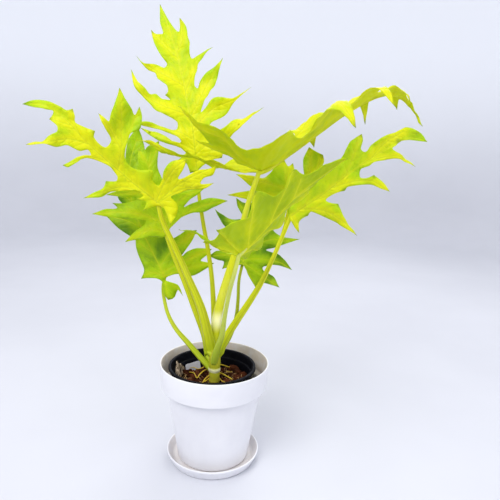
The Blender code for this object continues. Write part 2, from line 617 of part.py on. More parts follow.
def saucer_profile():
    return [(0.0, SAUCER_FLOOR), (SAUCER_FOOT_RADIUS - 4.5, SAUCER_FLOOR), (SAUCER_FOOT_RADIUS - 1.5, SAUCER_FLOOR + 1.6),
            (SAUCER_RIM_RADIUS - 2.2, SAUCER_HEIGHT - 0.5), (SAUCER_RIM_RADIUS - 1.5, SAUCER_HEIGHT),
            (SAUCER_RIM_RADIUS - 0.4, SAUCER_HEIGHT), (SAUCER_RIM_RADIUS, SAUCER_HEIGHT - 0.7),
            (SAUCER_RIM_RADIUS - 0.5, SAUCER_HEIGHT - 3.0), (SAUCER_FOOT_RADIUS + 0.8, 2.0),
            (SAUCER_FOOT_RADIUS - 0.6, 0.5), (SAUCER_FOOT_RADIUS - 2.0, 0.0), (0.0, 0.0)][::-1]


def nursery_wall_radius(height):
    share = (height - NURSERY_FOOT) / (NURSERY_RIM_HEIGHT - NURSERY_FOOT)
    return NURSERY_FOOT_RADIUS + (NURSERY_RIM_RADIUS - 3.0 - NURSERY_FOOT_RADIUS) * share


def nursery_profile():
    top = NURSERY_RIM_HEIGHT
    inner_top = nursery_wall_radius(top) - NURSERY_WALL
    return [(0.0, NURSERY_FOOT + 1.5), (nursery_wall_radius(NURSERY_FOOT) - NURSERY_WALL - 1.0, NURSERY_FOOT + 1.5),
            (nursery_wall_radius(top - 12.0) - NURSERY_WALL - 1.2, top - 12.0),
            (nursery_wall_radius(top - 11.0) - NURSERY_WALL + 0.2, top - 11.0), (inner_top, top - 1.5),
            (inner_top + 0.8, top), (NURSERY_RIM_RADIUS - 0.8, top), (NURSERY_RIM_RADIUS, top - 1.0),
            (NURSERY_RIM_RADIUS, top - 4.0), (NURSERY_RIM_RADIUS - 0.8, top - 4.6),
            (nursery_wall_radius(top - 5.5) + 0.3, top - 5.5), (nursery_wall_radius(NURSERY_FOOT), NURSERY_FOOT + 1.0),
            (nursery_wall_radius(NURSERY_FOOT) - 1.0, NURSERY_FOOT), (0.0, NURSERY_FOOT)][::-1]


# Soil and what lies on it

SOIL_RINGS = 13
SOIL_FOOT = NURSERY_FOOT + 1.5 + GAP


def soil_radius(height):
    return nursery_wall_radius(height) - NURSERY_WALL - 1.4 - GAP


def soil_top(x, y):
    """The height of the lumpy soil, never above its own limit."""
    lump = noise.noise(Vector((x / 7.0, y / 7.0, 1.7))) * 0.7 + noise.noise(Vector((x / 3.1, y / 3.1, 5.2))) * 0.3
    return SOIL_HEIGHT + SOIL_LUMPS * max(min(lump * 1.6, 1.0), -1.0)


def make_soil(group, cutters):
    work = bmesh.new()
    rim = soil_radius(SOIL_HEIGHT)
    foot = soil_radius(SOIL_FOOT)
    profile = [(0.0, SOIL_FOOT), (foot, SOIL_FOOT), (rim, SOIL_HEIGHT - 3.0)]
    profile += [(rim * (1.0 - ring / SOIL_RINGS), SOIL_HEIGHT) for ring in range(SOIL_RINGS + 1)]
    verts = [work.verts.new((radius, 0.0, height)) for radius, height in profile]
    edges = [work.edges.new((verts[index], verts[index + 1])) for index in range(len(verts) - 1)]
    bmesh.ops.spin(work, geom=verts + edges, cent=(0, 0, 0), axis=(0, 0, 1), angle=2 * math.pi, steps=TURN_STEPS,
                   use_merge=True)
    bmesh.ops.remove_doubles(work, verts=work.verts, dist=0.01)
    for vert in work.verts:
        vert.co.x += NURSERY_CENTRE[0]
        vert.co.y += NURSERY_CENTRE[1]
        if vert.co.z > SOIL_HEIGHT - 1.0:
            vert.co.z = soil_top(vert.co.x, vert.co.y)
        vert.co *= MM
    bmesh.ops.triangulate(work, faces=work.faces)
    bmesh.ops.recalc_face_normals(work, faces=work.faces)
    mesh = bpy.data.meshes.new("soil")
    work.to_mesh(mesh)
    work.free()
    soil = add_object("soil", mesh, "bark_soil", group)
    hole = bored_cylinder("stem_hole", STEM_RADIUS + GAP, STEM_FOOT - GAP, SOIL_HEIGHT + 20.0, STEM_PLACE, cutters)
    cut(soil, hole)
    slot = tag_box("tag_slot", GAP, cutters)
    cut(soil, slot)
    return soil


def bored_cylinder(name, radius, low, high, place, cutters):
    work = bmesh.new()
    bmesh.ops.create_cone(work, cap_ends=True, segments=24, radius1=radius * MM, radius2=radius * MM,
                          depth=(high - low) * MM)
    mesh = bpy.data.meshes.new(name)
    work.to_mesh(mesh)
    work.free()
    cylinder = bpy.data.objects.new(name, mesh)
    cylinder.location = (place[0] * MM, place[1] * MM, (low + high) / 2 * MM)
    cutters.objects.link(cylinder)
    return cylinder


TAG_SIZE = (25.0, 0.8, 26.0)
TAG_PLACE = (-30.0, 27.0, SOIL_HEIGHT + 3.0)
TAG_TURN = math.radians(38.0)
TAG_LEAN = math.radians(-12.0)


def tag_box(name, extra, group):
    work = bmesh.new()
    bmesh.ops.create_cube(work, size=1.0)
    for vert in work.verts:
        for axis in range(3):
            vert.co[axis] *= (TAG_SIZE[axis] + 2 * extra) * MM
    mesh = bpy.data.meshes.new(name)
    work.to_mesh(mesh)
    work.free()
    tag = bpy.data.objects.new(name, mesh)
    tag.location = [value * MM for value in TAG_PLACE]
    tag.rotation_euler = (TAG_LEAN, 0.0, TAG_TURN)
    group.objects.link(tag)
    return tag


def make_tag(group):
    tag = tag_box("plant_tag", 0.0, group)
    tag.data.materials.append(make_material("tag_grey"))
    return tag


SHEATH_ANGLES = (math.radians(148.0), math.radians(196.0))
SHEATH_HEIGHTS = (SOIL_HEIGHT + SOIL_LUMPS + GAP, NURSERY_RIM_HEIGHT - 4.0)
SHEATH_WALL_INSET = 3.1
SHEATH_THICKNESS = 0.7


def sheath_point(along, up):
    """A place on the dried sheath, from 0 to 1 along the pot's wall and up it; its top edge is torn."""
    angle = SHEATH_ANGLES[0] + (SHEATH_ANGLES[1] - SHEATH_ANGLES[0]) * along
    torn_top = 0.55 + 0.45 * math.sin(math.pi * along) + 0.10 * math.sin(17.0 * along)
    height = SHEATH_HEIGHTS[0] + (SHEATH_HEIGHTS[1] - SHEATH_HEIGHTS[0]) * up * torn_top
    radius = nursery_wall_radius(height) - SHEATH_WALL_INSET - 2.0 * up * along
    return Vector((NURSERY_CENTRE[0] + radius * math.cos(angle), NURSERY_CENTRE[1] + radius * math.sin(angle), height))


def make_dry_sheath(group):
    """A dried leaf sheath that stands on the soil against the nursery pot's wall."""
    work = bmesh.new()
    bmesh.ops.create_grid(work, x_segments=12, y_segments=5, size=0.5)
    for vert in work.verts:
        vert.co = sheath_point(vert.co.x + 0.5, vert.co.y + 0.5) * MM
    bmesh.ops.triangulate(work, faces=work.faces)
    mesh = bpy.data.meshes.new("dry_sheath")
    work.to_mesh(mesh)
    work.free()
    sheath = add_object("dry_sheath", mesh, "dry_sheath", group)
    shell = sheath.modifiers.new("thickness", "SOLIDIFY")
    shell.thickness = SHEATH_THICKNESS * MM
    shell.offset = 0.0
    return sheath


def main():
    clear_scene()
    plant = new_collection("potted_philodendron")
    cutters = new_collection("cutters")
    turned("saucer", saucer_profile(), "glazed_white", plant)
    turned("outer_pot", outer_pot_profile(), "glazed_white", plant)
    turned("nursery_pot", nursery_profile(), "black_plastic", plant, NURSERY_CENTRE)
    make_soil(plant, cutters)
    make_tag(plant)
    make_dry_sheath(plant)
    make_stem(plant, cutters)
    shades = dict(low_left="dark_leaf", second_left="dark_leaf", low_right="dark_leaf", back_right="dark_leaf")
    for name, leaf in LEAVES.items():
        make_petiole("petiole_" + name, leaf, plant)
        make_blade("blade_" + name, leaf, shades.get(name, "bright_leaf"), plant)
    for cutter in cutters.objects:
        cutter.hide_render = True
        cutter.display_type = "WIRE"


main()
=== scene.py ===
"""The finished look of a potted philodendron selloum, built round its CAD frame.

Sizes are in millimetres until a mesh is made. Leaves that face the viewer are drawn as they are seen, by
column and row of a 500 by 500 view, with a depth behind the pot's axis. The two leaves seen edge on are
drawn flat and bent.
"""
import math
import random

import bmesh
import bpy
import numpy
from mathutils import Matrix, Vector, geometry, noise


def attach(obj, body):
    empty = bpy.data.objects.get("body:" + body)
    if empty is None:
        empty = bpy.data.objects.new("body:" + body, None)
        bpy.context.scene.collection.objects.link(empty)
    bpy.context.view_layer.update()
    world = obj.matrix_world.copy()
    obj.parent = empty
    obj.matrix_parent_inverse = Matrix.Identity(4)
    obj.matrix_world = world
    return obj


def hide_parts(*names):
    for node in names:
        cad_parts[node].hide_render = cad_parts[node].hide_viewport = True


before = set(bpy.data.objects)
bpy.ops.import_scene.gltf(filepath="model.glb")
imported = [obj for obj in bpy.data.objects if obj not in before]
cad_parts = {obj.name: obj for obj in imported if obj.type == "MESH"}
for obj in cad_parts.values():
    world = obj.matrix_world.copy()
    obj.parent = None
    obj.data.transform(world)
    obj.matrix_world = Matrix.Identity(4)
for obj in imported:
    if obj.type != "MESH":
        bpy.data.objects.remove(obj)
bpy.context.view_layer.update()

MM = 0.001
FULL_TURN = 2.0 * math.pi

# Sizes of the pots and what they hold
GAP = 0.3
RIM_RADIUS = 75.0
RIM_HEIGHT = 144.5
COLLAR_HEIGHT = 34.5
BODY_TOP_RADIUS = 65.0
BODY_FOOT_RADIUS = 49.5
POT_WALL = 2.2
POT_FOOT = 5.0
SAUCER_RIM_RADIUS = 65.0
SAUCER_FOOT_RADIUS = 58.4
SAUCER_HEIGHT = 15.5
SAUCER_FLOOR = POT_FOOT - GAP
NURSERY_RIM_RADIUS = 60.0
NURSERY_FOOT_RADIUS = 37.5
NURSERY_RIM_HEIGHT = 141.0
NURSERY_WALL = 1.2
NURSERY_CENTRE = (-3.2, -4.0)
NURSERY_FOOT = POT_FOOT + 3.0 + GAP
SOIL_HEIGHT = 113.0
SOIL_LUMPS = 2.6

# Sizes of the stem and where a stalk meets a midrib
STEM_PLACE = (0.0, -12.0)
STEM_RADIUS = 7.2
STEM_FOOT = 70.0
STEM_NODE_HEIGHT = 139.0
STEM_TOP = 158.0
RIB_THICKNESS = 2.4

# How leaves are drawn: points along a midrib, millimetres to a column of the view, how far out a lobe
# begins to droop, how tight a margin's curves are, and by how much its two halves' waves are out of step
MIDRIB_SAMPLES = 40
COLUMN_SIZE = 1.42
LOBE_ROOT = 55.0
MARGIN_TENSION = 0.45
HALF_LEAF_PHASE = 1.3

# The viewing point: where it is, how it is turned, and its focal length in columns of the view
VIEW_PLACE = Vector((0.0, -663.5, 434.75))
VIEW_DOWN = math.radians(11.263)
VIEW_ROLL = math.radians(1.996)
VIEW_RIGHT = math.radians(3.772)
VIEW_FOCUS = 508.4
VIEW_CENTRE = 250.0


def tip(column, row):
    """A margin point that ends a lobe in a sharp tip."""
    return (column, row, True)


# Leaves seen face on. Midrib points are column, row and depth. The margin runs clockwise from the base.
# Fold is how far each half rises towards the viewer for a millimetre across, left and right of the midrib.
# A petiole's points are column, row, depth and radius, from the stem up.


TOP_LEAF = dict(
    midrib=[(197, 170, 30), (195, 150, 30), (193, 132, 34), (189, 110, 42), (184, 85, 54), (178, 58, 68),
            (170, 32, 84), (160, 4, 104)],
    margin=[(197, 171), tip(190, 173), (186, 163), tip(178, 160), (186, 152), (178, 147), (165, 143),
            (153, 137), tip(140, 128), (152, 131), (166, 136), (176, 144), (181, 141), (172, 133),
            (160, 130), (148, 127), tip(132, 124), (147, 121), (160, 126), (172, 129), (177, 128),
            (177, 122), (168, 116), (157, 111), (151, 105), (143, 97), (134, 86), tip(131, 69), (139, 83),
            (145, 88), (150, 94), (156, 94), (163, 99), (170, 99), tip(165, 95), (168, 91), (166, 85),
            (158, 79), (155, 73), (148, 70), (143, 65), tip(136, 56), (144, 63), (155, 64), (164, 67),
            (167, 63), (160, 54), (154, 43), tip(151, 30), (157, 34), (163, 33), (160, 22), tip(160, 4),
            (168, 19), (175, 29), (179, 31), tip(180, 18), (186, 26), (188, 37), (190, 45), (190, 55),
            (192, 58), (199, 55), tip(213, 47), (204, 56), (198, 66), (195, 78), (195, 86), (198, 88),
            (200, 80), (208, 71), (217, 65), tip(223, 58), (219, 71), (216, 83), (209, 93), (204, 102),
            (201, 112), (206, 107), (213, 98), (222, 97), (233, 98), tip(251, 87), (235, 101), (227, 113),
            (212, 123), (209, 130), (218, 130), (226, 126), (234, 119), (245, 117), tip(264, 107),
            (250, 118), (240, 128), (233, 134), (226, 145), tip(222, 158), (212, 160), (204, 165)],
    fold=(0.22, 0.30), curl=0.0016, wave=2.5, waves=6.0, behind=True, seat=-0.5,
    petiole=[(214, 336, 2, 4.6), (214, 318, 8, 3.9), (212, 280, 16, 3.2), (208, 250, 22, 3.0),
             (203, 222, 28, 2.8), (199, 195, 33, 2.6)],
    sheath=0.16)

UPPER_LEFT_LEAF = dict(
    midrib=[(158, 203, -36), (147, 194, -40), (133, 183, -44), (118, 170, -48), (105, 159, -52),
            (92, 147, -56), (80, 135, -59), (66, 120, -60), (52, 109, -58), (38, 104, -53), (24, 104, -46)],
    margin=[(157, 206), tip(143, 211), (146, 202), tip(136, 199), (143, 196), (137, 190), (125, 191),
            (112, 192), (102, 197), tip(83, 198), (95, 192), (103, 188), tip(106, 181), (116, 181),
            (117, 176), (110, 167), (98, 161), (85, 158), (76, 163), (68, 167), tip(62, 165), (72, 160),
            (77, 157), (85, 155), (91, 155), (88, 150), (80, 151), (73, 148), (66, 145), (56, 147),
            (45, 144), (35, 145), tip(26, 145), (34, 141), (42, 141), (49, 136), (57, 132), (57, 126),
            tip(49, 119), (53, 111), (44, 109), (33, 107), tip(22, 104), (33, 100), (48, 101), (60, 106),
            (66, 110), tip(72, 109), (75, 116), (75, 122), (84, 127), tip(95, 131), (94, 138), (105, 147),
            (111, 140), (105, 128), tip(98, 113), (104, 117), (109, 121), (111, 112), (116, 100),
            tip(120, 88), (125, 98), (131, 108), (135, 115), tip(139, 106), (142, 116), (140, 129),
            (130, 135), (126, 147), (125, 158), (130, 166), (140, 170), (153, 170), (152, 180), (158, 186),
            (162, 180), (164, 170), (172, 161), tip(187, 159), (184, 168), (178, 179), (189, 175),
            (198, 170), (207, 169), tip(217, 166), (213, 175), (204, 178), (201, 184), tip(214, 183),
            (204, 189), (190, 190), (177, 194), (171, 197), (177, 204), (177, 214), tip(170, 225),
            (167, 215), (163, 208)],
    fold=(0.25, 0.20), curl=0.0016, wave=2.5, waves=5.0, behind=True, seat=-0.6,
    petiole=[(211, 350, -10, 7.2), (208, 335, -14, 6.8), (201, 308, -20, 5.6), (188, 277, -25, 4.3),
             (175, 248, -28, 3.7), (163, 222, -30, 3.2)],
    sheath=0.2)

LOW_LEFT_LEAF = dict(
    midrib=[(165, 277, 26), (156, 259, 30), (147, 241, 35), (139, 222, 40), (132, 202, 46), (129, 180, 53),
            (131, 158, 62), (138, 136, 74)],
    margin=[(165, 280), (178, 285), tip(183, 296), (178, 290), (174, 298), tip(168, 300), (164, 293),
            (162, 282), (156, 278), tip(141, 279), (144, 270), (140, 259), (136, 247), (135, 238),
            (130, 236), (118, 228), tip(106, 216), (120, 216), (126, 208), (119, 200), (115, 190),
            tip(106, 186), (118, 180), (124, 168), (126, 150), (129, 138), tip(138, 127), (143, 140),
            (147, 160), (154, 172), (152, 190), (158, 205), (160, 225), (168, 238), (175, 238), (184, 232),
            tip(197, 230), (192, 241), (181, 257), (188, 251), (197, 248), tip(212, 249), (206, 256),
            (201, 261), tip(214, 263), (206, 269), (193, 276), (182, 274), (172, 275)],
    fold=(0.10, -0.02), curl=0.0004, wave=2.0, waves=4.0, behind=True, seat=-0.2,
    petiole=[(210, 368, -7, 4.4), (200, 357, -3, 4.0), (188, 343, 3, 3.6), (176, 329, 10, 3.0),
             (168, 314, 19, 2.6), (164, 298, 29, 2.4), (163, 287, 32, 2.2)],
    sheath=0.14)

SECOND_LEFT_LEAF = dict(
    midrib=[(166, 234, 4), (162, 220, 6), (157, 205, 8), (152, 188, 11), (149, 170, 15), (151, 150, 20)],
    margin=[(164, 237), (152, 237), (140, 239), tip(125, 242), (134, 232), (145, 224), (146, 220),
            (128, 219), (110, 217), tip(92, 214), (105, 209), (117, 208), tip(112, 203), (124, 203),
            (136, 200), (136, 197), (120, 197), tip(106, 195), (117, 191), (132, 188), (140, 178),
            (138, 160), tip(139, 148), (143, 152), (148, 146), tip(159, 141), (158, 155), (158, 168),
            (163, 180), (172, 188), (186, 188), tip(204, 189), (197, 195), (189, 200), (184, 207),
            (192, 203), (206, 199), (216, 198), tip(228, 201), (214, 207), (204, 212), (192, 213),
            (180, 218), (173, 224)],
    fold=(0.10, 0.08), curl=0.0004, wave=1.8, waves=4.0, behind=True, seat=-0.2,
    petiole=[(208, 356, 6, 5.0), (204, 335, 8, 4.2), (194, 308, 9, 3.7), (184, 281, 9, 3.3),
             (173, 254, 9, 3.0)],
    sheath=0.13)

LOW_RIGHT_LEAF = dict(
    midrib=[(243, 262, 40), (247, 250, 42), (253, 237, 45), (260, 222, 49), (266, 207, 54), (270, 190, 60)],
    margin=[(244, 265), (248, 275), tip(257, 290), (260, 283), (268, 284), tip(280, 288), (274, 277),
            (264, 271), (263, 267), (272, 265), (281, 266), tip(292, 270), (285, 260), (278, 254),
            (266, 250), (276, 247), (286, 244), tip(300, 239), (288, 238), (276, 233), (272, 225),
            (280, 215), tip(285, 200), (275, 203), tip(272, 180), (266, 192), (258, 200), (247, 203),
            tip(236, 198), (239, 209), (243, 218), (233, 219), (224, 216), tip(215, 209), (221, 222),
            (230, 232), (232, 242), (224, 250), (216, 251), tip(209, 256), (218, 260), (224, 262),
            tip(222, 269), (233, 266)],
    fold=(0.15, 0.12), curl=0.0006, wave=2.0, waves=4.0, behind=True, seat=0.5,
    petiole=[(221, 350, 6, 3.8), (230, 336, 14, 3.2), (236, 318, 22, 2.8), (238, 300, 30, 2.4),
             (239, 280, 38, 2.2)],
    sheath=0.2)

RIGHT_LEAF = dict(
    midrib=[(291, 216, -24), (302, 208, -26), (316, 199, -28), (330, 189, -30), (343, 178, -32),
            (358, 167, -33), (374, 156, -33), (392, 146, -31), (408, 138, -27), (425, 140, -20)],
    margin=[(290, 219), (295, 228), tip(299, 233), (299, 223), (304, 218), tip(308, 216),
            (312, 212), (328, 219), (343, 227), tip(358, 236), (350, 226), (343, 215),
            tip(339, 204), (332, 203), (326, 200), (336, 193), tip(345, 191), (348, 187),
            (360, 185), (373, 185), (383, 189), tip(390, 192), (384, 183), tip(374, 175),
            (366, 178), (360, 177), (361, 169), (369, 166), (374, 162), (386, 160), (400, 159),
            tip(415, 167), (405, 157), (392, 149), (396, 145), tip(398, 141), (408, 140),
            (418, 141), tip(427, 142), (422, 134), (414, 129), (406, 128), (396, 132), (386, 135),
            (377, 140), (371, 146), (365, 152), (361, 148), (363, 140), tip(362, 134), (355, 138),
            (350, 142), (345, 150), (341, 159), (330, 165), (318, 173), tip(306, 181), (300, 190),
            (297, 198), (294, 204), tip(287, 207), (288, 213)],
    fold=(0.35, -0.08), curl=0.0008, wave=2.0, waves=6.0, behind=True, seat=0.5,
    petiole=[(220, 352, -12, 5.4), (226, 338, -13, 5.2), (236, 322, -14, 4.8), (248, 304, -16, 4.3),
             (261, 283, -16, 3.6), (273, 258, -16, 3.0), (282, 237, -16, 2.8)],
    sheath=0.2)

BACK_RIGHT_LEAF = dict(
    midrib=[(291, 198, 30), (289, 188, 32), (286, 178, 35), (284, 162, 40)],
    margin=[(291, 201), (282, 204), (270, 208), (258, 204), (245, 199), tip(227, 195), (240, 192),
            (254, 190), (250, 186), tip(236, 174), (250, 175), (262, 178), (270, 173), (276, 164),
            tip(284, 159), (288, 166), tip(293, 163), (296, 175), (299, 183), (304, 176), (303, 160),
            tip(309, 147), (317, 152), tip(323, 155), (324, 163), (316, 176), (303, 187)],
    fold=(0.12, 0.12), curl=0.0006, wave=2.0, waves=3.0, behind=True, seat=0.5,
    petiole=[(220, 348, 4, 4.0), (227, 337, 8, 3.6), (238, 319, 14, 3.2), (250, 301, 20, 3.0),
             (262, 281, 26, 2.8), (274, 256, 31, 2.7), (284, 230, 34, 2.6)],
    sheath=0.15)

# Leaves seen edge on. The margin is one half, drawn flat from base to tip: millimetres along the
# midrib and away from it. Near and far are the directions in which the two halves spread, at the
# base and at the tip.
ARCHING_LEAF = dict(
    midrib=[(188, 148, -20), (224, 163, -17), (259, 173, -14), (290, 154, -12), (320, 132, -10),
            (345, 114, -8), (372, 99, -4), (392, 95, 0), (409, 105, 4), (422, 127, 8)],
    base=2,
    margin=[(0, 2), (-16, 14), (-44, 20), tip(-74, 26), (-58, 40), (-66, 62), tip(-86, 84), (-48, 78),
            (-20, 58), (-2, 52), (12, 58), tip(31, 72), (36, 50), (42, 28), (52, 18), (60, 30), (64, 48),
            (76, 60), (92, 70), tip(111, 75), (106, 56), (98, 24), (106, 14), (120, 24), (142, 38),
            tip(165, 52), (156, 28), (148, 14), (160, 11), (176, 20), tip(206, 27), (202, 13), (212, 8),
            tip(252, 0)],
    near=((-0.12, -0.78, 0.58), (0.05, -0.88, 0.40)), far=((-0.86, 0.24, 0.18), (0.10, 0.84, 0.20)),
    curl=0.0008, droop=0.06, wave=2.0, waves=6.0, behind=False, seat=0.5,
    petiole=[(215, 345, -2, 8.0), (216, 325, -3, 7.0), (221, 300, -6, 5.8), (229, 273, -10, 5.0),
             (236, 250, -14, 4.3), (244, 218, -18, 3.6), (251, 195, -20, 3.2)],
    sheath=0.17)

FRONT_LEAF = dict(
    midrib=[(212, 248, -80), (226, 255, -77), (239, 255, -74), (256, 238, -77), (277, 215, -81),
            (300, 192, -86), (325, 173, -92), (348, 158, -99)],
    base=2,
    margin=[(0, 2), (-14, 14), (-30, 20), tip(-52, 30), (-38, 40), (-40, 54), tip(-56, 72), (-24, 62),
            (-6, 50), (8, 52), tip(16, 66), (30, 54), (40, 40), (50, 38), (60, 46), tip(74, 58), (80, 42),
            (86, 30), (98, 28), (108, 34), tip(122, 42), (124, 28), (130, 19), (142, 14), (156, 13),
            tip(186, 0)],
    near=((-0.55, -0.62, 0.56), (-0.42, -0.72, 0.52)), far=((0.28, 0.66, -0.06), (0.22, 0.80, -0.25)),
    curl=0.0012, droop=0.0, wave=2.0, waves=5.0, behind=False, seat=0.5,
    petiole=[(214, 362, -17, 5.0), (217, 350, -25, 4.4), (222, 335, -35, 3.6), (225, 315, -46, 2.8),
             (230, 290, -61, 2.6), (235, 272, -75, 2.4)],
    sheath=0.12)


LEAVES = dict(top=TOP_LEAF, upper_left=UPPER_LEFT_LEAF, low_left=LOW_LEFT_LEAF, second_left=SECOND_LEFT_LEAF,
              arching=ARCHING_LEAF, front=FRONT_LEAF, low_right=LOW_RIGHT_LEAF, right=RIGHT_LEAF,
              back_right=BACK_RIGHT_LEAF)


# Curves through points

def hermite(t, start, leave, end, arrive):
    """A cubic from one point to another, with the slopes at which it leaves and arrives."""
    return ((2 * t**3 - 3 * t**2 + 1) * start + (t**3 - 2 * t**2 + t) * leave
            + (3 * t**2 - 2 * t**3) * end + (t**3 - t**2) * arrive)


def spline_point(points, place):
    """A smooth curve through points of any dimension; place runs from 0 to 1."""
    last = len(points) - 1
    at = min(max(place, 0.0), 1.0) * last
    index = min(int(at), last - 1)
    around = (points[max(index - 1, 0)], points[index], points[index + 1], points[min(index + 2, last)])
    return [hermite(at - index, start, (end - before) * 0.5, end, (after - start) * 0.5)
            for before, start, end, after in zip(*around)]


def smooth_margin(margin, steps, closed=True):
    """The margin with rounded stretches between its points and sharp corners at its tips."""
    count = len(margin)
    outline = []
    for index in range(count if closed else count - 1):
        before = margin[index - 1] if closed or index else margin[0]
        start = margin[index]
        end = margin[(index + 1) % count]
        after = margin[(index + 2) % count] if closed or index + 2 < count else end
        chord = Vector(end[:2]) - Vector(start[:2])
        leave = chord * 0.5 if len(start) > 2 else (Vector(end[:2]) - Vector(before[:2])) * MARGIN_TENSION
        arrive = chord * 0.5 if len(end) > 2 else (Vector(after[:2]) - Vector(start[:2])) * MARGIN_TENSION
        leave *= min(1.0, chord.length / max(leave.length, 0.001))
        arrive *= min(1.0, chord.length / max(arrive.length, 0.001))
        for step in range(steps):
            outline.append(hermite(step / steps, Vector(start[:2]), leave, Vector(end[:2]), arrive))
    if not closed:
        outline.append(Vector(margin[-1][:2]))
    return outline


# The view

def view_axes():
    """The directions forward, rightward and upward of the view."""
    forward = Vector((math.sin(VIEW_RIGHT) * math.cos(VIEW_DOWN), math.cos(VIEW_RIGHT) * math.cos(VIEW_DOWN),
                      -math.sin(VIEW_DOWN)))
    right = Vector((math.cos(VIEW_RIGHT), -math.sin(VIEW_RIGHT), 0.0))
    up = right.cross(forward)
    rolled_right = right * math.cos(VIEW_ROLL) + up * math.sin(VIEW_ROLL)
    rolled_up = up * math.cos(VIEW_ROLL) - right * math.sin(VIEW_ROLL)
    return forward, rolled_right, rolled_up


FORWARD, RIGHTWARD, UPWARD = view_axes()


def view_ray(column, row):
    """The direction in which a column and row of the view lie."""
    return FORWARD * VIEW_FOCUS + RIGHTWARD * (column - VIEW_CENTRE) + UPWARD * (VIEW_CENTRE - row)


def seen_point(column, row, depth):
    """The point seen at a column and row, at a depth in millimetres behind the pot's axis."""
    ray = view_ray(column, row)
    return VIEW_PLACE + ray * ((depth - VIEW_PLACE.y) / ray.y)


def on_soil(column, row, height):
    """The point of a given height seen at a column and row."""
    ray = view_ray(column, row)
    return VIEW_PLACE + ray * ((height - VIEW_PLACE.z) / ray.z)


# Where the points of a leaf lie

def nearest_on_midrib(samples, place):
    """The smoothed fraction along the midrib, the distance from it and the side, for a point of the view."""
    nearest = None
    total = 0.0
    fraction = 0.0
    for index, sample in enumerate(samples):
        away = place - sample
        weight = 1.0 / (away.length_squared + 16.0) ** 2
        total += weight
        fraction += weight * index
        if nearest is None or away.length < nearest[0]:
            forward = samples[min(index + 1, len(samples) - 1)] - samples[max(index - 1, 0)]
            side = forward.x * away.y - forward.y * away.x
            nearest = (away.length, side)
    return fraction / total / (len(samples) - 1), nearest[0], nearest[1]


def ripple(leaf, fraction, away, phased):
    """How far a leaf's wave lifts it at a distance from its midrib; its two halves are out of step."""
    phase = HALF_LEAF_PHASE if phased else 0.0
    return leaf["wave"] * math.sin(FULL_TURN * leaf["waves"] * fraction + phase) * min(away / 30.0, 1.5)


def facing_point(leaf, samples, place):
    """Where a point of a leaf seen face on lies."""
    fraction, columns_away, side = nearest_on_midrib(samples, place)
    away = columns_away * COLUMN_SIZE
    rise = leaf["fold"][0] if side < 0 else leaf["fold"][1]
    depth = spline_point(leaf["midrib"], fraction)[2]
    depth += leaf["curl"] * away * away - rise * away + ripple(leaf, fraction, away, side < 0)
    return seen_point(place.x, place.y, depth)


def swept_point(leaf, place):
    """Where a point of a leaf drawn flat lies, once the leaf is bent along its midrib."""
    points = leaf["midrib"]
    base_fraction = leaf["base"] / (len(points) - 1)
    fraction = place.x / leaf["margin"][-1][0]
    if fraction >= 0.0:
        along = base_fraction + fraction * (1.0 - base_fraction)
    else:
        along = base_fraction * (1.0 + fraction / 0.36)
    first, last = leaf["near"] if place.y > 0 else leaf["far"]
    blend = min(max(fraction, 0.0), 1.0)
    side = Vector(first) * (1.0 - blend) + Vector(last) * blend
    away = abs(place.y)
    lobe = max(away - LOBE_ROOT * (1.0 - blend), 0.0)
    droop = leaf["curl"] * away * away + leaf["droop"] * blend * lobe * lobe
    lift = ripple(leaf, fraction, away, place.y > 0) - droop
    return seen_point(*spline_point(points, along)) + side * away + Vector((0.0, 0.0, lift))


def flat_outline(leaf, steps):
    """The whole margin of a leaf in its own drawing plane."""
    if "base" not in leaf:
        return smooth_margin(leaf["margin"], steps)
    half = smooth_margin(leaf["margin"], steps, closed=False)
    return half + [Vector((point.x, -point.y)) for point in reversed(half[:-1])]


def midrib_samples(leaf):
    """Evenly spaced points along a leaf's midrib, in its own drawing plane."""
    shares = [index / MIDRIB_SAMPLES for index in range(MIDRIB_SAMPLES + 1)]
    if "base" in leaf:
        return [Vector((leaf["margin"][-1][0] * (0.02 + 0.94 * share), 0.0)) for share in shares]
    return [Vector(spline_point(leaf["midrib"], 0.015 + 0.965 * share)[:2]) for share in shares]


def petiole_route(leaf, count):
    """Points with a radius along a petiole, from the stem to just short of the blade."""
    points = list(leaf["petiole"])
    base = leaf["midrib"][leaf.get("base", 0)]
    radius = points[-1][3] * 0.94
    clearance = radius + RIB_THICKNESS / 2 + GAP + leaf["seat"]
    points.append((base[0], base[1], base[2] + (clearance if leaf["behind"] else -clearance), radius))
    seen = [spline_point(points, index / (count - 1)) for index in range(count)]
    return [(seen_point(column, row, depth), size) for column, row, depth, size in seen]


# Profiles of the pots: radius and height of each corner

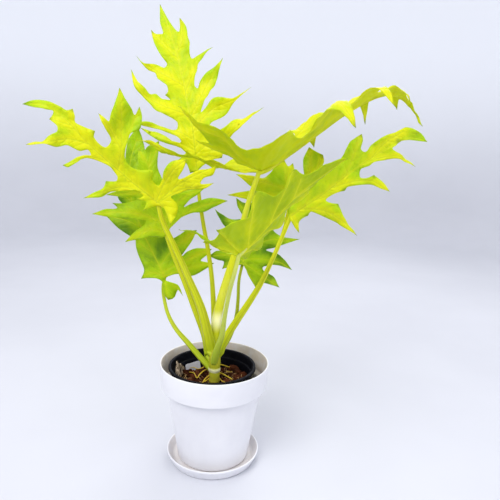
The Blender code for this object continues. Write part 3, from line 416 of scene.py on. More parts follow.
def outer_pot_profile():
    """The cover pot, from the middle of its foot round its collar to the middle of its floor."""
    step = RIM_HEIGHT - COLLAR_HEIGHT
    floor = POT_FOOT + 3.0
    collar = RIM_RADIUS - 2.5
    lip = RIM_RADIUS - 1.9

    def inner(height):
        slope = (BODY_TOP_RADIUS - BODY_FOOT_RADIUS) / (step - POT_FOOT)
        return BODY_FOOT_RADIUS - POT_WALL + slope * (height - POT_FOOT)

    return [(0.0, POT_FOOT), (BODY_FOOT_RADIUS - 3.5, POT_FOOT), (BODY_FOOT_RADIUS - 0.7, POT_FOOT + 1.6),
            (BODY_FOOT_RADIUS + 0.5, POT_FOOT + 5.0), (BODY_TOP_RADIUS, step - 1.5),
            (BODY_TOP_RADIUS + 0.5, step - 0.2), (collar - 1.2, step), (collar, step + 1.2),
            (RIM_RADIUS - 0.1, RIM_HEIGHT - 4.0), (RIM_RADIUS, RIM_HEIGHT - 0.8),
            (RIM_RADIUS - 0.4, RIM_HEIGHT), (lip + 0.4, RIM_HEIGHT), (lip - 0.4, RIM_HEIGHT - 1.0),
            (collar - POT_WALL - 1.0, step + 7.0),
            (inner(step) + 1.0, step + 4.0), (inner(step), step), (inner(POT_FOOT + 7.0), POT_FOOT + 7.0),
            (inner(floor) - 4.0, floor), (0.0, floor)]


def saucer_profile():
    """The saucer, from the middle of its foot round its rim to the middle of its floor."""
    return [(0.0, 0.0), (SAUCER_FOOT_RADIUS - 2.0, 0.0), (SAUCER_FOOT_RADIUS - 0.6, 0.5),
            (SAUCER_FOOT_RADIUS + 0.8, 2.0), (SAUCER_RIM_RADIUS - 0.5, SAUCER_HEIGHT - 3.0),
            (SAUCER_RIM_RADIUS, SAUCER_HEIGHT - 0.7), (SAUCER_RIM_RADIUS - 0.4, SAUCER_HEIGHT),
            (SAUCER_RIM_RADIUS - 1.5, SAUCER_HEIGHT), (SAUCER_RIM_RADIUS - 2.2, SAUCER_HEIGHT - 0.5),
            (SAUCER_FOOT_RADIUS - 1.5, SAUCER_FLOOR + 1.6), (SAUCER_FOOT_RADIUS - 4.5, SAUCER_FLOOR),
            (0.0, SAUCER_FLOOR)]


def nursery_wall_radius(height):
    """The outer radius of the inner pot's wall at a height."""
    share = (height - NURSERY_FOOT) / (NURSERY_RIM_HEIGHT - NURSERY_FOOT)
    return NURSERY_FOOT_RADIUS + (NURSERY_RIM_RADIUS - 3.0 - NURSERY_FOOT_RADIUS) * share


def nursery_profile():
    """The inner pot, from the middle of its foot round its rolled rim to the middle of its floor."""
    top = NURSERY_RIM_HEIGHT
    floor = NURSERY_FOOT + 1.5
    foot_radius = nursery_wall_radius(NURSERY_FOOT)
    inner_top = nursery_wall_radius(top) - NURSERY_WALL
    return [(0.0, NURSERY_FOOT), (foot_radius - 1.0, NURSERY_FOOT), (foot_radius, NURSERY_FOOT + 1.0),
            (nursery_wall_radius(top - 5.5) + 0.3, top - 5.5), (NURSERY_RIM_RADIUS - 0.8, top - 4.6),
            (NURSERY_RIM_RADIUS, top - 4.0), (NURSERY_RIM_RADIUS, top - 1.0), (NURSERY_RIM_RADIUS - 0.8, top),
            (inner_top + 0.8, top), (inner_top, top - 1.5),
            (nursery_wall_radius(top - 11.0) - NURSERY_WALL + 0.2, top - 11.0),
            (nursery_wall_radius(top - 12.0) - NURSERY_WALL - 1.2, top - 12.0),
            (foot_radius - NURSERY_WALL - 1.0, floor), (0.0, floor)]


# Soil, tag and dried sheath

def soil_radius(height):
    """How far the soil reaches from the inner pot's axis at a height."""
    return nursery_wall_radius(height) - NURSERY_WALL - 1.4 - GAP


def soil_top(x, y):
    """The height of the lumpy soil, never above its own limit."""
    broad = noise.noise(Vector((x / 7.0, y / 7.0, 1.7)))
    fine = noise.noise(Vector((x / 3.1, y / 3.1, 5.2)))
    return SOIL_HEIGHT + SOIL_LUMPS * max(min((broad * 0.7 + fine * 0.3) * 1.6, 1.0), -1.0)


TAG_SIZE = (25.0, 0.8, 26.0)
TAG_PLACE = (-30.0, 27.0, SOIL_HEIGHT + 3.0)
TAG_TURN = math.radians(38.0)
TAG_LEAN = math.radians(-12.0)

SHEATH_ANGLES = (math.radians(148.0), math.radians(196.0))
SHEATH_HEIGHTS = (SOIL_HEIGHT + SOIL_LUMPS + GAP, NURSERY_RIM_HEIGHT - 4.0)
SHEATH_WALL_INSET = 3.1


def sheath_point(along, up):
    """A place on the dried sheath, from 0 to 1 along the pot's wall and up it; its top edge is torn."""
    angle = SHEATH_ANGLES[0] + (SHEATH_ANGLES[1] - SHEATH_ANGLES[0]) * along
    torn_top = 0.55 + 0.45 * math.sin(math.pi * along) + 0.10 * math.sin(17.0 * along)
    height = SHEATH_HEIGHTS[0] + (SHEATH_HEIGHTS[1] - SHEATH_HEIGHTS[0]) * up * torn_top
    radius = nursery_wall_radius(height) - SHEATH_WALL_INSET - 2.0 * up * along
    return round_nursery(radius, angle, height)


def round_nursery(radius, angle, height):
    """A point by its distance from the inner pot's axis, its angle round it and its height."""
    return Vector((NURSERY_CENTRE[0] + radius * math.cos(angle), NURSERY_CENTRE[1] + radius * math.sin(angle),
                   height))


# Ribs that run out into the lobes, from the midrib to just short of each tip, in each leaf's own plane
RIBS = dict(
    top=[
        [(194, 150), (180, 143), (165, 138.5), (143, 129)],
        [(192, 139), (177, 131), (155, 126.5), (135, 124.3)],
        [(190, 115), (166, 107), (146, 96), (134, 78)], [(184, 86), (168, 77), (150, 67), (139, 58)],
        [(178, 58), (168, 50), (157, 38), (152, 31.5)], [(177, 52), (183, 38), (181, 21)],
        [(185, 92), (193, 74), (203, 58), (211, 49)], [(190, 118), (199, 101), (208, 83), (221, 62)],
        [(192, 134), (203, 118), (216, 107), (234, 99.5), (247, 90)],
        [(195, 155), (212, 141), (228, 134), (245, 120), (260, 110)],
        [(196, 162), (208, 156), (218, 157.5)]],
    upper_left=[
        [(118, 170), (121, 150), (121, 120), (120, 92)], [(120, 148), (111, 131), (100, 115)],
        [(121, 148), (132, 126), (138, 109)], [(156, 201), (166, 180), (175, 168), (184, 161)],
        [(158, 202), (178, 185), (198, 174), (214, 167)], [(158, 203), (180, 190), (200, 187), (211, 184)],
        [(159, 203), (167, 212), (170, 222)], [(145, 193), (122, 187), (103, 192), (87, 197)],
        [(108, 162), (92, 157), (80, 159.3), (66, 165)], [(88, 144), (68, 139), (46, 142.5), (30, 144.7)],
        [(70, 125), (58, 121.5), (51, 119.6)], [(80, 135), (74, 121), (72.3, 112)]],
    low_left=[
        [(160, 266), (172, 250), (188, 237), (195, 231.5)],
        [(163, 272), (181, 262), (200, 253.5), (210, 249.8)],
        [(165, 276), (185, 268), (203, 264.5), (212, 263.2)], [(166, 279), (176, 287), (181.5, 293)],
        [(165, 280), (166, 290), (168, 298)], [(163, 276), (152, 272), (144, 277)],
        [(141, 227), (125, 220), (110, 216.4)], [(132, 202), (121, 193), (109, 187.2)],
        [(152, 252), (143, 246), (139, 243)], [(143, 232), (152, 218), (155, 200)],
        [(131, 185), (140, 168)]],
    second_left=[
        [(165, 232), (148, 230), (129, 240.5)], [(163, 222), (140, 214), (115, 212), (96, 213.6)],
        [(154, 195), (136, 192.5), (111, 194.8)], [(166, 232), (185, 214), (205, 205), (224, 201.3)],
        [(163, 222), (176, 204), (190, 193.5), (201, 189.8)], [(149, 166), (156, 151), (158.3, 143.5)],
        [(149, 166), (143.5, 157), (140.3, 151)]],
    low_right=[
        [(243, 264), (250, 276), (256, 287)], [(244, 263), (260, 274), (276, 285.3)],
        [(245, 259), (262, 259), (280, 262.5), (289, 268.2)],
        [(247, 251), (268, 240), (285, 240.7), (296, 239.5)], [(259, 225), (272, 213), (283, 202.5)],
        [(254, 235), (246, 215), (238.5, 201.5)], [(248, 246), (236, 226), (219, 212)],
        [(243, 260), (226, 255), (213, 255.8)], [(242, 263), (229, 265), (224, 267.6)]],
    right=[
        [(300, 209), (325, 211), (345, 223), (355, 233)], [(292, 217), (296, 225), (298.5, 231)],
        [(331, 188), (352, 182), (372, 181), (386, 189.4)],
        [(362, 164), (382, 157.5), (400, 156.5), (411, 164)],
        [(345, 177), (352, 160), (356, 148), (361, 137)], [(305, 206), (309, 193), (307, 184)],
        [(372, 157), (385, 143), (404, 131)], [(315, 200), (328, 196), (338, 190)]],
    back_right=[
        [(290, 196), (265, 198), (245, 195.7), (231, 195.1)],
        [(289, 190), (268, 183), (250, 178.7), (240, 175.6)],
        [(291, 197), (303, 186), (311, 168), (309.7, 151)], [(300, 189), (315, 172), (322, 158)],
        [(287, 180), (291, 173), (292.8, 166)]],
    arching=[
        [(3, 2), (-18, 20), (-45, 28), (-69, 27)], [(3, 2), (-20, 35), (-50, 60), (-81, 80)],
        [(3, 1), (6, 20), (14, 42), (29, 66)], [(14, 0), (44, 14), (74, 36), (92, 58), (108, 72)],
        [(52, 0), (84, 10), (120, 20), (144, 34), (160, 48)], [(118, 0), (142, 8), (168, 14), (198, 24)],
        [(180, 0), (200, 5), (210, 7)]],
    front=[
        [(2, 2), (-14, 18), (-32, 25), (-48, 29.3)], [(2, 2), (-16, 30), (-34, 50), (-52, 68)],
        [(5, 0), (6, 25), (12, 45), (15.6, 61)], [(20, 0), (42, 22), (58, 40), (71, 54)],
        [(62, 0), (88, 16), (106, 29), (118, 38)], [(100, 0), (114, 11), (121, 19)]])


# How yellow each leaf is at its base and at its tip, from 0, deep green, to 1, clear yellow green
TONES = dict(top=(0.95, 0.82), upper_left=(1.0, 0.88), low_left=(0.48, 0.50), second_left=(0.60, 0.55),
             low_right=(0.36, 0.34), right=(0.84, 0.92), back_right=(0.95, 0.90), arching=(0.92, 0.95),
             front=(0.62, 0.70))
MARGIN_GREEN = 0.10

# Places where a leaf is greener, as painted shade on lobes that fold into shadow, or yellower below zero:
# column, row, reach and strength
SHADE_AND_TONE_PATCHES = dict(
    top=[(145, 135, 24, 0.25), (218, 68, 14, 0.2)],
    upper_left=[(120, 100, 24, 0.22), (142, 130, 18, 0.35), (165, 160, 12, 0.25), (90, 196, 16, 0.3),
                (66, 164, 12, 0.3), (24, 103, 8, 0.4)],
    low_left=[(146, 246, 26, 0.10), (118, 208, 14, 0.2), (200, 252, 16, -0.25), (186, 238, 12, -0.2)],
    right=[(310, 186, 26, 0.22), (352, 160, 24, 0.22), (420, 138, 12, 0.25)],
    back_right=[(309, 160, 12, 0.3), (274, 180, 12, 0.35)])

# A blade's thickness, how far its veins stand out below, how far it swells between them, and its ruffle
SHEET_THICKNESS = 0.75
MIDRIB_RELIEF = 2.0
RIB_RELIEF = 0.9
PUCKER = 2.3
RUFFLE = 3.8
RUFFLE_FREQUENCY = 0.085

# Spacing of a blade's points, in columns of the view, and of its side veins
FINE_LATTICE = 2.6
FINE_MARGIN_STEPS = 5
ROW_SHARE = 0.87
SIDE_VEIN_STEP = 8.0
SIDE_VEIN_LENGTH = 15.0
SIDE_VEIN_STRIDE = 2.2
SIDE_VEIN_BEND = 0.30
SIDE_VEIN_ANGLE = math.radians(46.0)
MARGIN_CLEARANCE = 1.6
VEIN_CLEARANCE = 2.4
SMALLEST_SPLIT = 1.2
PLACES_AT_ONCE = 1500


# Making pieces

def mesh_from(work, name, smooth=True, scale=MM):
    """A mesh in metres from a bmesh in millimetres."""
    bmesh.ops.scale(work, vec=(scale, scale, scale), verts=work.verts)
    mesh = bpy.data.meshes.new(name)
    work.to_mesh(mesh)
    work.free()
    if smooth:
        mesh.polygons.foreach_set("use_smooth", [True] * len(mesh.polygons))
    return mesh


def add_piece(name, made, materials, nodes=(), smooth=True):
    """Adds a mesh, or what a bmesh holds, as a piece that stands for the given nodes."""
    mesh = mesh_from(made, name, smooth) if isinstance(made, bmesh.types.BMesh) else made
    piece = bpy.data.objects.new(name, mesh)
    bpy.context.scene.collection.objects.link(piece)
    for material in materials:
        mesh.materials.append(material)
    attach(piece, "root")
    if nodes:
        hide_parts(*nodes)
    return piece


def store(mesh, name, values):
    """Keeps one number for each vertex under a name that materials read."""
    attribute = mesh.attributes.new(name, "FLOAT", "POINT")
    attribute.data.foreach_set("value", values)


def evaluated_mesh(piece):
    """The mesh that an object's modifiers or curve settings make."""
    graph = bpy.context.evaluated_depsgraph_get()
    return bpy.data.meshes.new_from_object(piece.evaluated_get(graph))


def applied(piece):
    """Turns a piece's modifiers into its mesh."""
    mesh = evaluated_mesh(piece)
    piece.modifiers.clear()
    piece.data = mesh
    return piece


def upright_line(work, points):
    """A line of vertices, each from a radius and a height."""
    return [work.verts.new((max(radius, 0.0), 0.0, height)) for radius, height in points]


def spin_round(work, verts, steps, merge=0.02):
    """Turns a line of vertices once round the upright axis into a surface."""
    edges = [work.edges.new(pair) for pair in zip(verts, verts[1:])]
    bmesh.ops.spin(work, geom=verts + edges, cent=(0, 0, 0), axis=(0, 0, 1), angle=FULL_TURN, steps=steps,
                   use_merge=True)
    bmesh.ops.remove_doubles(work, verts=work.verts, dist=merge)


# Fine blades

def as_array(points):
    """Points as the rows of an array."""
    return numpy.array([tuple(point) for point in points])


def segments_of(lines):
    """The start and the end of every stretch of the lines."""
    pairs = [(start, end) for line in lines for start, end in zip(line, line[1:])]
    return as_array(pair[0] for pair in pairs), as_array(pair[1] for pair in pairs)


def distances(places, starts, ends):
    """The distance from each place to the nearest of the segments."""
    along = ends - starts
    lengths = numpy.maximum((along ** 2).sum(axis=1), 1e-9)
    best = numpy.full(len(places), 1.0e9)
    for first in range(0, len(places), PLACES_AT_ONCE):
        offset = places[first:first + PLACES_AT_ONCE][:, None, :] - starts[None, :, :]
        share = numpy.clip((offset * along[None, :, :]).sum(axis=2) / lengths, 0.0, 1.0)
        gap = offset - share[:, :, None] * along[None, :, :]
        best[first:first + PLACES_AT_ONCE] = numpy.sqrt((gap ** 2).sum(axis=2)).min(axis=1)
    return best


def within(places, outline):
    """Which places lie inside a closed outline."""
    corners = as_array(outline)
    before = numpy.roll(corners, 1, axis=0)
    inside = numpy.zeros(len(places), dtype=bool)
    for (x1, y1), (x2, y2) in zip(before, corners):
        if y1 == y2:
            continue
        spans = (y1 > places[:, 1]) != (y2 > places[:, 1])
        crossing = x1 + (x2 - x1) * (places[:, 1] - y1) / (y2 - y1)
        inside ^= spans & (places[:, 0] < crossing)
    return inside


def curve_through(points, spacing):
    """Evenly spaced points on a smooth curve through the given ones."""
    length = sum((Vector(b) - Vector(a)).length for a, b in zip(points, points[1:]))
    count = max(3, int(length / spacing) + 1)
    corners = [tuple(point) for point in points]
    return [Vector(spline_point(corners, index / count)) for index in range(count + 1)]


def mirrored_too(leaf, lines):
    """The lines, and for a leaf whose margin is one half also their mirror images."""
    if "base" not in leaf:
        return lines
    return lines + [[Vector((point.x, -point.y)) for point in line] for line in lines]


def side_vein(start, way, heading, scale, outline, margin, taken):
    """One short vein, which bends towards its rib's way and stops short of the margin and other veins."""
    length = SIDE_VEIN_LENGTH * scale
    vein = [start]
    reach = 0.0
    while reach < length:
        reach += SIDE_VEIN_STRIDE * scale
        bent = way + heading * (SIDE_VEIN_BEND * reach / length)
        place = start + bent.normalized() * reach
        spot = as_array([place])
        if not within(spot, outline)[0] or distances(spot, *margin)[0] < MARGIN_CLEARANCE * scale:
            break
        if distances(spot, *taken)[0] < VEIN_CLEARANCE * scale:
            break
        vein.append(place)
    return vein


def side_veins(main_lines, outline, margin, scale):
    """Short veins that leave the midrib and the ribs on both sides."""
    veins = []
    step = SIDE_VEIN_STEP * scale
    for line in main_lines:
        taken = segments_of([other for other in main_lines if other is not line])
        travelled = step * 0.6
        for start, end in zip(line, line[1:]):
            span = (end - start).length
            travelled += span
            if travelled < step or span < 1e-6:
                continue
            travelled = 0.0
            heading = (end - start) / span
            for turn in (SIDE_VEIN_ANGLE, -SIDE_VEIN_ANGLE):
                way = Vector((heading.x * math.cos(turn) - heading.y * math.sin(turn),
                              heading.x * math.sin(turn) + heading.y * math.cos(turn)))
                vein = side_vein(end, way, heading, scale, outline, margin, taken)
                if len(vein) > 2:
                    veins.append(vein)
    return veins


def middles_between_lines(result, margin_count, line_edges):
    """The middles of the larger triangles whose three corners all lie on the margin or on veins."""
    places, triangles, origins = result[0], result[2], result[3]
    on_line = set(range(margin_count))
    for pair in line_edges:
        on_line.update(pair)
    middles = []
    for triangle in triangles:
        corners = [places[index] for index in triangle]
        if not all(any(origin in on_line for origin in origins[index]) for index in triangle):
            continue
        if abs((corners[1] - corners[0]).cross(corners[2] - corners[0])) > SMALLEST_SPLIT:
            middles.append(sum(corners, Vector((0.0, 0.0))) / 3.0)
    return middles


def lattice_between(outline, margin, line_places, spacing):
    """A triangular lattice inside the outline, clear of its margin and of the veins."""
    corners = as_array(outline)
    low, high = corners.min(axis=0), corners.max(axis=0)
    row_step = spacing * ROW_SHARE
    rows = int((high[1] - low[1]) / row_step) + 1
    columns = int((high[0] - low[0]) / spacing) + 2
    lattice = numpy.array([(low[0] + (column + 0.5 * (row % 2)) * spacing, low[1] + (row + 0.5) * row_step)
                           for row in range(rows) for column in range(columns)])
    lattice = lattice[within(lattice, outline)]
    lattice = lattice[distances(lattice, *margin) > spacing * 0.35]
    return lattice[distances(lattice, line_places, line_places) > spacing * 0.5]


def fine_flat_leaf(name, leaf):
    """The fine triangulation of a leaf in its drawing plane, with its veins as edges."""
    scale = COLUMN_SIZE if "base" in leaf else 1.0
    spacing = FINE_LATTICE * scale
    outline = flat_outline(leaf, FINE_MARGIN_STEPS)
    margin = segments_of([outline + [outline[0]]])
    samples = midrib_samples(leaf)
    midrib = [point for point in curve_through(samples[::4], spacing)
              if within(as_array([point]), outline)[0]]
    ribs = []
    for rib in mirrored_too(leaf, [list(map(Vector, rib)) for rib in RIBS[name]]):
        line = curve_through(rib, spacing)
        places = as_array(line)
        good = within(places, outline) & (distances(places, *margin) > 0.35 * scale)
        kept = [point for point, fine in zip(line, good) if fine]
        if len(kept) > 2:
            ribs.append(kept)
    small = side_veins([midrib] + ribs, outline, margin, scale)
    points = list(outline)
    edges = []
    for line in [midrib] + ribs + small:
        first = len(points)
        points.extend(line)
        edges.extend((first + index, first + index + 1) for index in range(len(line) - 1))
    lattice = lattice_between(outline, margin, as_array(points[len(outline):]), spacing)
    points.extend(Vector(place) for place in lattice)
    border = [list(range(len(outline)))]
    result = geometry.delaunay_2d_cdt(points, edges, border, 1, 0.00001)
    points.extend(middles_between_lines(result, len(outline), edges))
    result = geometry.delaunay_2d_cdt(points, edges, border, 1, 0.00001)
    gaps = dict(margin_gap=margin, midrib_gap=segments_of([midrib]), rib_gap=segments_of(ribs))
    if small:
        gaps["vein_gap"] = segments_of(small)
    tips = [[Vector(point[:2])] * 2 for point in leaf["margin"] if len(point) > 2]
    gaps["tip_gap"] = segments_of(mirrored_too(leaf, tips))
    return result[0], result[2], samples, gaps


def leaf_tone(name, places, fractions, margin_gap):
    """How yellow each place of a leaf is, with its patches of painted shade."""
    base, end = TONES[name]
    tone = base + (end - base) * numpy.clip(fractions, 0.0, 1.0)
    tone = tone - MARGIN_GREEN * numpy.exp(-margin_gap / 2.5)
    # Painted shade: each patch makes the leaf greener where a lobe lies in shadow; a strength below zero
    # makes it yellower
    for column, row, reach, strength in SHADE_AND_TONE_PATCHES.get(name, ()):
        away = numpy.sqrt((places[:, 0] - column) ** 2 + (places[:, 1] - row) ** 2)
        tone = tone - strength * numpy.exp(-(away / reach) ** 2)
    return numpy.clip(tone, 0.0, 1.0)


def place_blade(leaf, samples, flat, triangles):
    """The leaf's sheet in its real place, and each vertex's fraction along the midrib."""
    work = bmesh.new()
    fractions = []
    for place in flat:
        if "base" in leaf:
            work.verts.new(swept_point(leaf, place))
            fractions.append(place.x / leaf["margin"][-1][0])
        else:
            work.verts.new(facing_point(leaf, samples, place))
            fractions.append(nearest_on_midrib(samples, place)[0])
    work.verts.ensure_lookup_table()
    for triangle in triangles:
        work.faces.new([work.verts[index] for index in reversed(triangle)])
    work.normal_update()
    return work, numpy.array(fractions)


def pucker(work, vein_gap, margin_gap):
    """Swells the sheet between its veins and ruffles its margin."""
    lift = PUCKER * (1.0 - numpy.exp(-vein_gap / 4.0)) * (1.0 - numpy.exp(-margin_gap / 5.0))
    normals = [vert.normal.copy() for vert in work.verts]
    for vert, normal, rise, edge in zip(work.verts, normals, lift, margin_gap):
        flutter = noise.noise(vert.co * RUFFLE_FREQUENCY) * RUFFLE * math.exp(-edge / 5.0)
        vert.co += normal * (float(rise) + flutter)


def thicken(piece, gaps, taper):
    """Gives the sheet its thickness, with the midrib and the ribs standing out below."""
    relief = SHEET_THICKNESS + MIDRIB_RELIEF * taper * numpy.exp(-(gaps["midrib_gap"] / (1.9 * taper)) ** 2)
    rib = SHEET_THICKNESS + RIB_RELIEF * numpy.exp(-(gaps["rib_gap"] / 1.3) ** 2) * taper ** 0.5
    relief = numpy.maximum(relief, rib) * (0.45 + 0.55 * (1.0 - numpy.exp(-gaps["margin_gap"] / 1.2)))
    thick = piece.vertex_groups.new(name="thickness")
    full = SHEET_THICKNESS + MIDRIB_RELIEF
    for index, value in enumerate(relief):
        thick.add([index], float(min(value / full, 1.0)), "REPLACE")
    shell = piece.modifiers.new("sheet", "SOLIDIFY")
    shell.thickness = full * MM
    shell.offset = -1.0
    shell.vertex_group = "thickness"
    shell.material_offset = 1
    return applied(piece)


def make_fine_blade(name, leaf, upper, lower):
    """A leaf's blade; its materials read how far each vertex lies from the veins, the margin and the tips."""
    flat, triangles, samples, lines = fine_flat_leaf(name, leaf)
    to_mm = 1.0 if "base" in leaf else COLUMN_SIZE
    places = as_array(flat)
    gaps = {label: distances(places, *segments) * to_mm for label, segments in lines.items()}
    gaps.setdefault("vein_gap", gaps["rib_gap"] + 50.0)
    work, fractions = place_blade(leaf, samples, flat, triangles)
    nearest_vein = numpy.minimum(numpy.minimum(gaps["midrib_gap"], gaps["rib_gap"]), gaps["vein_gap"])
    pucker(work, nearest_vein, gaps["margin_gap"])
    mesh = mesh_from(work, "leaf_" + name)
    taper = 1.0 - 0.75 * numpy.clip(fractions, 0.0, 1.0)
    for label, gap in gaps.items():
        store(mesh, label, gap / taper if label == "midrib_gap" else gap)
    store(mesh, "tone", leaf_tone(name, places, fractions, gaps["margin_gap"]))
    piece = add_piece("leaf_" + name, mesh, (upper, lower), ["blade_" + name])
    return thicken(piece, gaps, taper)


# Stalks

STALK_SIDES = 32
STALK_SPACING = 3.5
STALK_GROOVE = 0.34
STALK_RIDGE = 0.07
STALK_RUN_ON = 0.10
STALK_TIP_RADIUS = 0.9
STALK_ROUTE_POINTS = 40
RUN_ON_STEPS = 5

# Darker lines along a stalk, painted shade that stands for its lengthwise shading: where each lies round it,
# how wide it is and how strong
STALK_SHADE_LINES = ((0.55, 0.26, 1.0), (-1.25, 0.26, 0.8), (-0.2, 0.18, 0.5))


def full_stalk_route(leaf):
    """A stalk's whole route, from inside the stem to where it tapers into the back of the midrib."""
    route = petiole_route(leaf, STALK_ROUTE_POINTS)
    first, first_radius = route[0]
    root = (Vector((*STEM_PLACE, min(first.z, STEM_TOP) - 5.0)), first_radius * 0.8)
    samples = midrib_samples(leaf)
    side = 1.0 if leaf["behind"] else -1.0
    run_on = []
    for step in range(1, RUN_ON_STEPS + 1):
        share = step / RUN_ON_STEPS
        if "base" in leaf:
            place = swept_point(leaf, Vector((leaf["margin"][-1][0] * STALK_RUN_ON * share, 0.0)))
        else:
            flat = Vector(spline_point(leaf["midrib"], STALK_RUN_ON * share)[:2])
            place = facing_point(leaf, samples, flat)
        radius = route[-1][1] * (1.0 - share) + STALK_TIP_RADIUS * share
        place.y += side * (radius * 0.75 + 0.5)
        run_on.append((place, radius))
    return [root] + route + run_on


def bell(value, middle, width):
    """A smooth bump, 1 at its middle."""
    return math.exp(-((value - middle) / width) ** 2)


def swept_stalk(name, route, hint, material, nodes=()):
    """A grooved stalk: a sheet rolled round the route, closed at both ends, its groove towards the hint."""
    points = [tuple(place) + (radius,) for place, radius in route]
    length = sum((Vector(b[:3]) - Vector(a[:3])).length for a, b in zip(points, points[1:]))
    rings = max(8, int(length / STALK_SPACING))
    work = bmesh.new()
    along = work.verts.layers.float.new("along")
    shade_line = work.verts.layers.float.new("shade_line")
    bmesh.ops.create_grid(work, x_segments=STALK_SIDES, y_segments=rings, size=0.5)
    centre_line = [spline_point(points, index / rings) for index in range(rings + 1)]
    for vert in work.verts:
        ring = round((vert.co.y + 0.5) * rings)
        angle = (vert.co.x + 0.5) * FULL_TURN
        ahead = Vector(centre_line[min(ring + 1, rings)][:3])
        back = Vector(centre_line[max(ring - 1, 0)][:3])
        forward = (ahead - back).normalized()
        top = (hint - forward * hint.dot(forward)).normalized()
        side = forward.cross(top)
        turn = math.atan2(math.sin(angle), math.cos(angle))
        share = ring / rings
        groove = STALK_GROOVE * min(1.0, 6.0 * share) * bell(turn, 0.0, 0.55)
        ridge = STALK_RIDGE * bell(abs(turn), 0.95, 0.28)
        radius = centre_line[ring][3] * (1.0 - groove + ridge)
        vert.co = Vector(centre_line[ring][:3]) + (top * math.cos(turn) + side * math.sin(turn)) * radius
        vert[along] = share
        # Painted shade: how dark the lines along the stalk are here
        vert[shade_line] = sum(strength * bell(turn, at, width) for at, width, strength in STALK_SHADE_LINES)
    bmesh.ops.remove_doubles(work, verts=work.verts, dist=0.02)
    loose_ends = [edge for edge in work.edges if edge.is_boundary]
    bmesh.ops.holes_fill(work, edges=loose_ends, sides=STALK_SIDES + 4)
    bmesh.ops.recalc_face_normals(work, faces=work.faces)
    return add_piece(name, work, (material,), nodes)


# The stem, its roots and what lies on the soil

TRUNK_POINTS = 46
TRUNK_STEPS = 36


def make_trunk(material):
    """The stem's own body, ringed by old leaf scars, running up into the sheaths."""
    work = bmesh.new()
    profile = [(0.0, STEM_FOOT + 30.0), (STEM_RADIUS - 0.4, STEM_FOOT + 30.0), (STEM_RADIUS - 0.2, 118.0),
               (STEM_RADIUS + 0.5, 121.0), (STEM_RADIUS - 0.1, 124.0), (STEM_RADIUS - 0.2, 129.0),
               (STEM_RADIUS, STEM_NODE_HEIGHT - 5.0), (STEM_RADIUS + 1.0, STEM_NODE_HEIGHT - 2.0),
               (STEM_RADIUS + 1.2, STEM_NODE_HEIGHT), (STEM_RADIUS + 0.6, STEM_NODE_HEIGHT + 2.5),
               (STEM_RADIUS + 1.0, STEM_NODE_HEIGHT + 8.0), (STEM_RADIUS + 0.6, STEM_TOP),
               (STEM_RADIUS * 0.75, STEM_TOP + 9.0), (0.0, STEM_TOP + 14.0)]
    dense = [spline_point(profile, index / TRUNK_POINTS) for index in range(TRUNK_POINTS + 1)]
    spin_round(work, upright_line(work, dense), TRUNK_STEPS)
    for vert in work.verts:
        lump = noise.noise(Vector((vert.co.x * 0.22, vert.co.y * 0.22, vert.co.z * 0.09)))
        flat = Vector((vert.co.x, vert.co.y, 0.0))
        if flat.length > 1.0:
            vert.co += flat.normalized() * lump * 0.6
        vert.co += Vector((*STEM_PLACE, 0.0))
    bmesh.ops.recalc_face_normals(work, faces=work.faces)
    return add_piece("stem_body", work, (material,), ["stem"])


# Young roots on the soil: column, row and height of each point, and the radius
YOUNG_ROOTS = [
    ([(210, 368, 131), (205, 370, 126), (200, 374, 122.5), (197, 378, 121), (194, 373, 122),
      (189, 372, 121)], 0.8),
    ([(211, 374, 126), (206, 378, 122), (203, 382, 120)], 0.8),
    ([(211, 377, 122), (207, 380, 120.5), (202, 383, 119)], 0.7),
    ([(217, 364, 134), (223, 365, 130), (229, 367, 126), (234, 367, 124.5)], 0.8),
    ([(218, 372, 127), (223, 374, 124), (230, 378, 122), (235, 381, 120)], 0.8),
    ([(218, 377, 121.5), (222, 381, 120), (227, 383, 119)], 0.6),
    ([(236, 368, 124), (231, 372, 123), (226, 371, 123)], 0.45),
    ([(204, 367, 124), (198, 369, 122.5), (193, 367, 123), (186, 370, 121)], 0.5)]

ROOT_THICKENING = 1.25
ROOT_TAPER = 0.12
ROOT_HINT = Vector((0.1, 0.2, 1.0))


def make_roots(material):
    """The young roots, each a little thinner from point to point."""
    for index, (points, radius) in enumerate(YOUNG_ROOTS):
        route = [(on_soil(*point), radius * ROOT_THICKENING * (1.0 - ROOT_TAPER * place))
                 for place, point in enumerate(points)]
        swept_stalk("young_root_" + str(index), route, ROOT_HINT, material)


SOIL_BED_RINGS = 26
SOIL_BED_STEPS = 96
CHIP_SEED = 11
CHIP_COUNT = 330
CHIP_SIZES = (2.4, 6.2)
FIBRE_SEED = 23
FIBRE_COUNT = 130
FIBRE_STEPS = 6
FIBRE_STRIDE = 1.8
FIBRE_RADIUS = 0.28

# Heaps of loose chips: centre, reach and height
HEAPS = [(-28.0, 6.0, 15.0, 4.5), (24.0, 8.0, 20.0, 6.5), (36.0, -12.0, 12.0, 4.0), (-20.0, -24.0, 14.0, 3.0)]


def heaped(x, y):
    """How much higher the loose chips lie at a place."""
    return sum(height * math.exp(-((x - heap_x) ** 2 + (y - heap_y) ** 2) / reach ** 2)
               for heap_x, heap_y, reach, height in HEAPS)


def strewn(draw, limit):
    """A random place in the inner pot, and its distance from the pot's axis, at most the limit."""
    reach = limit * math.sqrt(draw.random())
    angle = draw.uniform(0.0, FULL_TURN)
    return NURSERY_CENTRE[0] + reach * math.cos(angle), NURSERY_CENTRE[1] + reach * math.sin(angle), reach


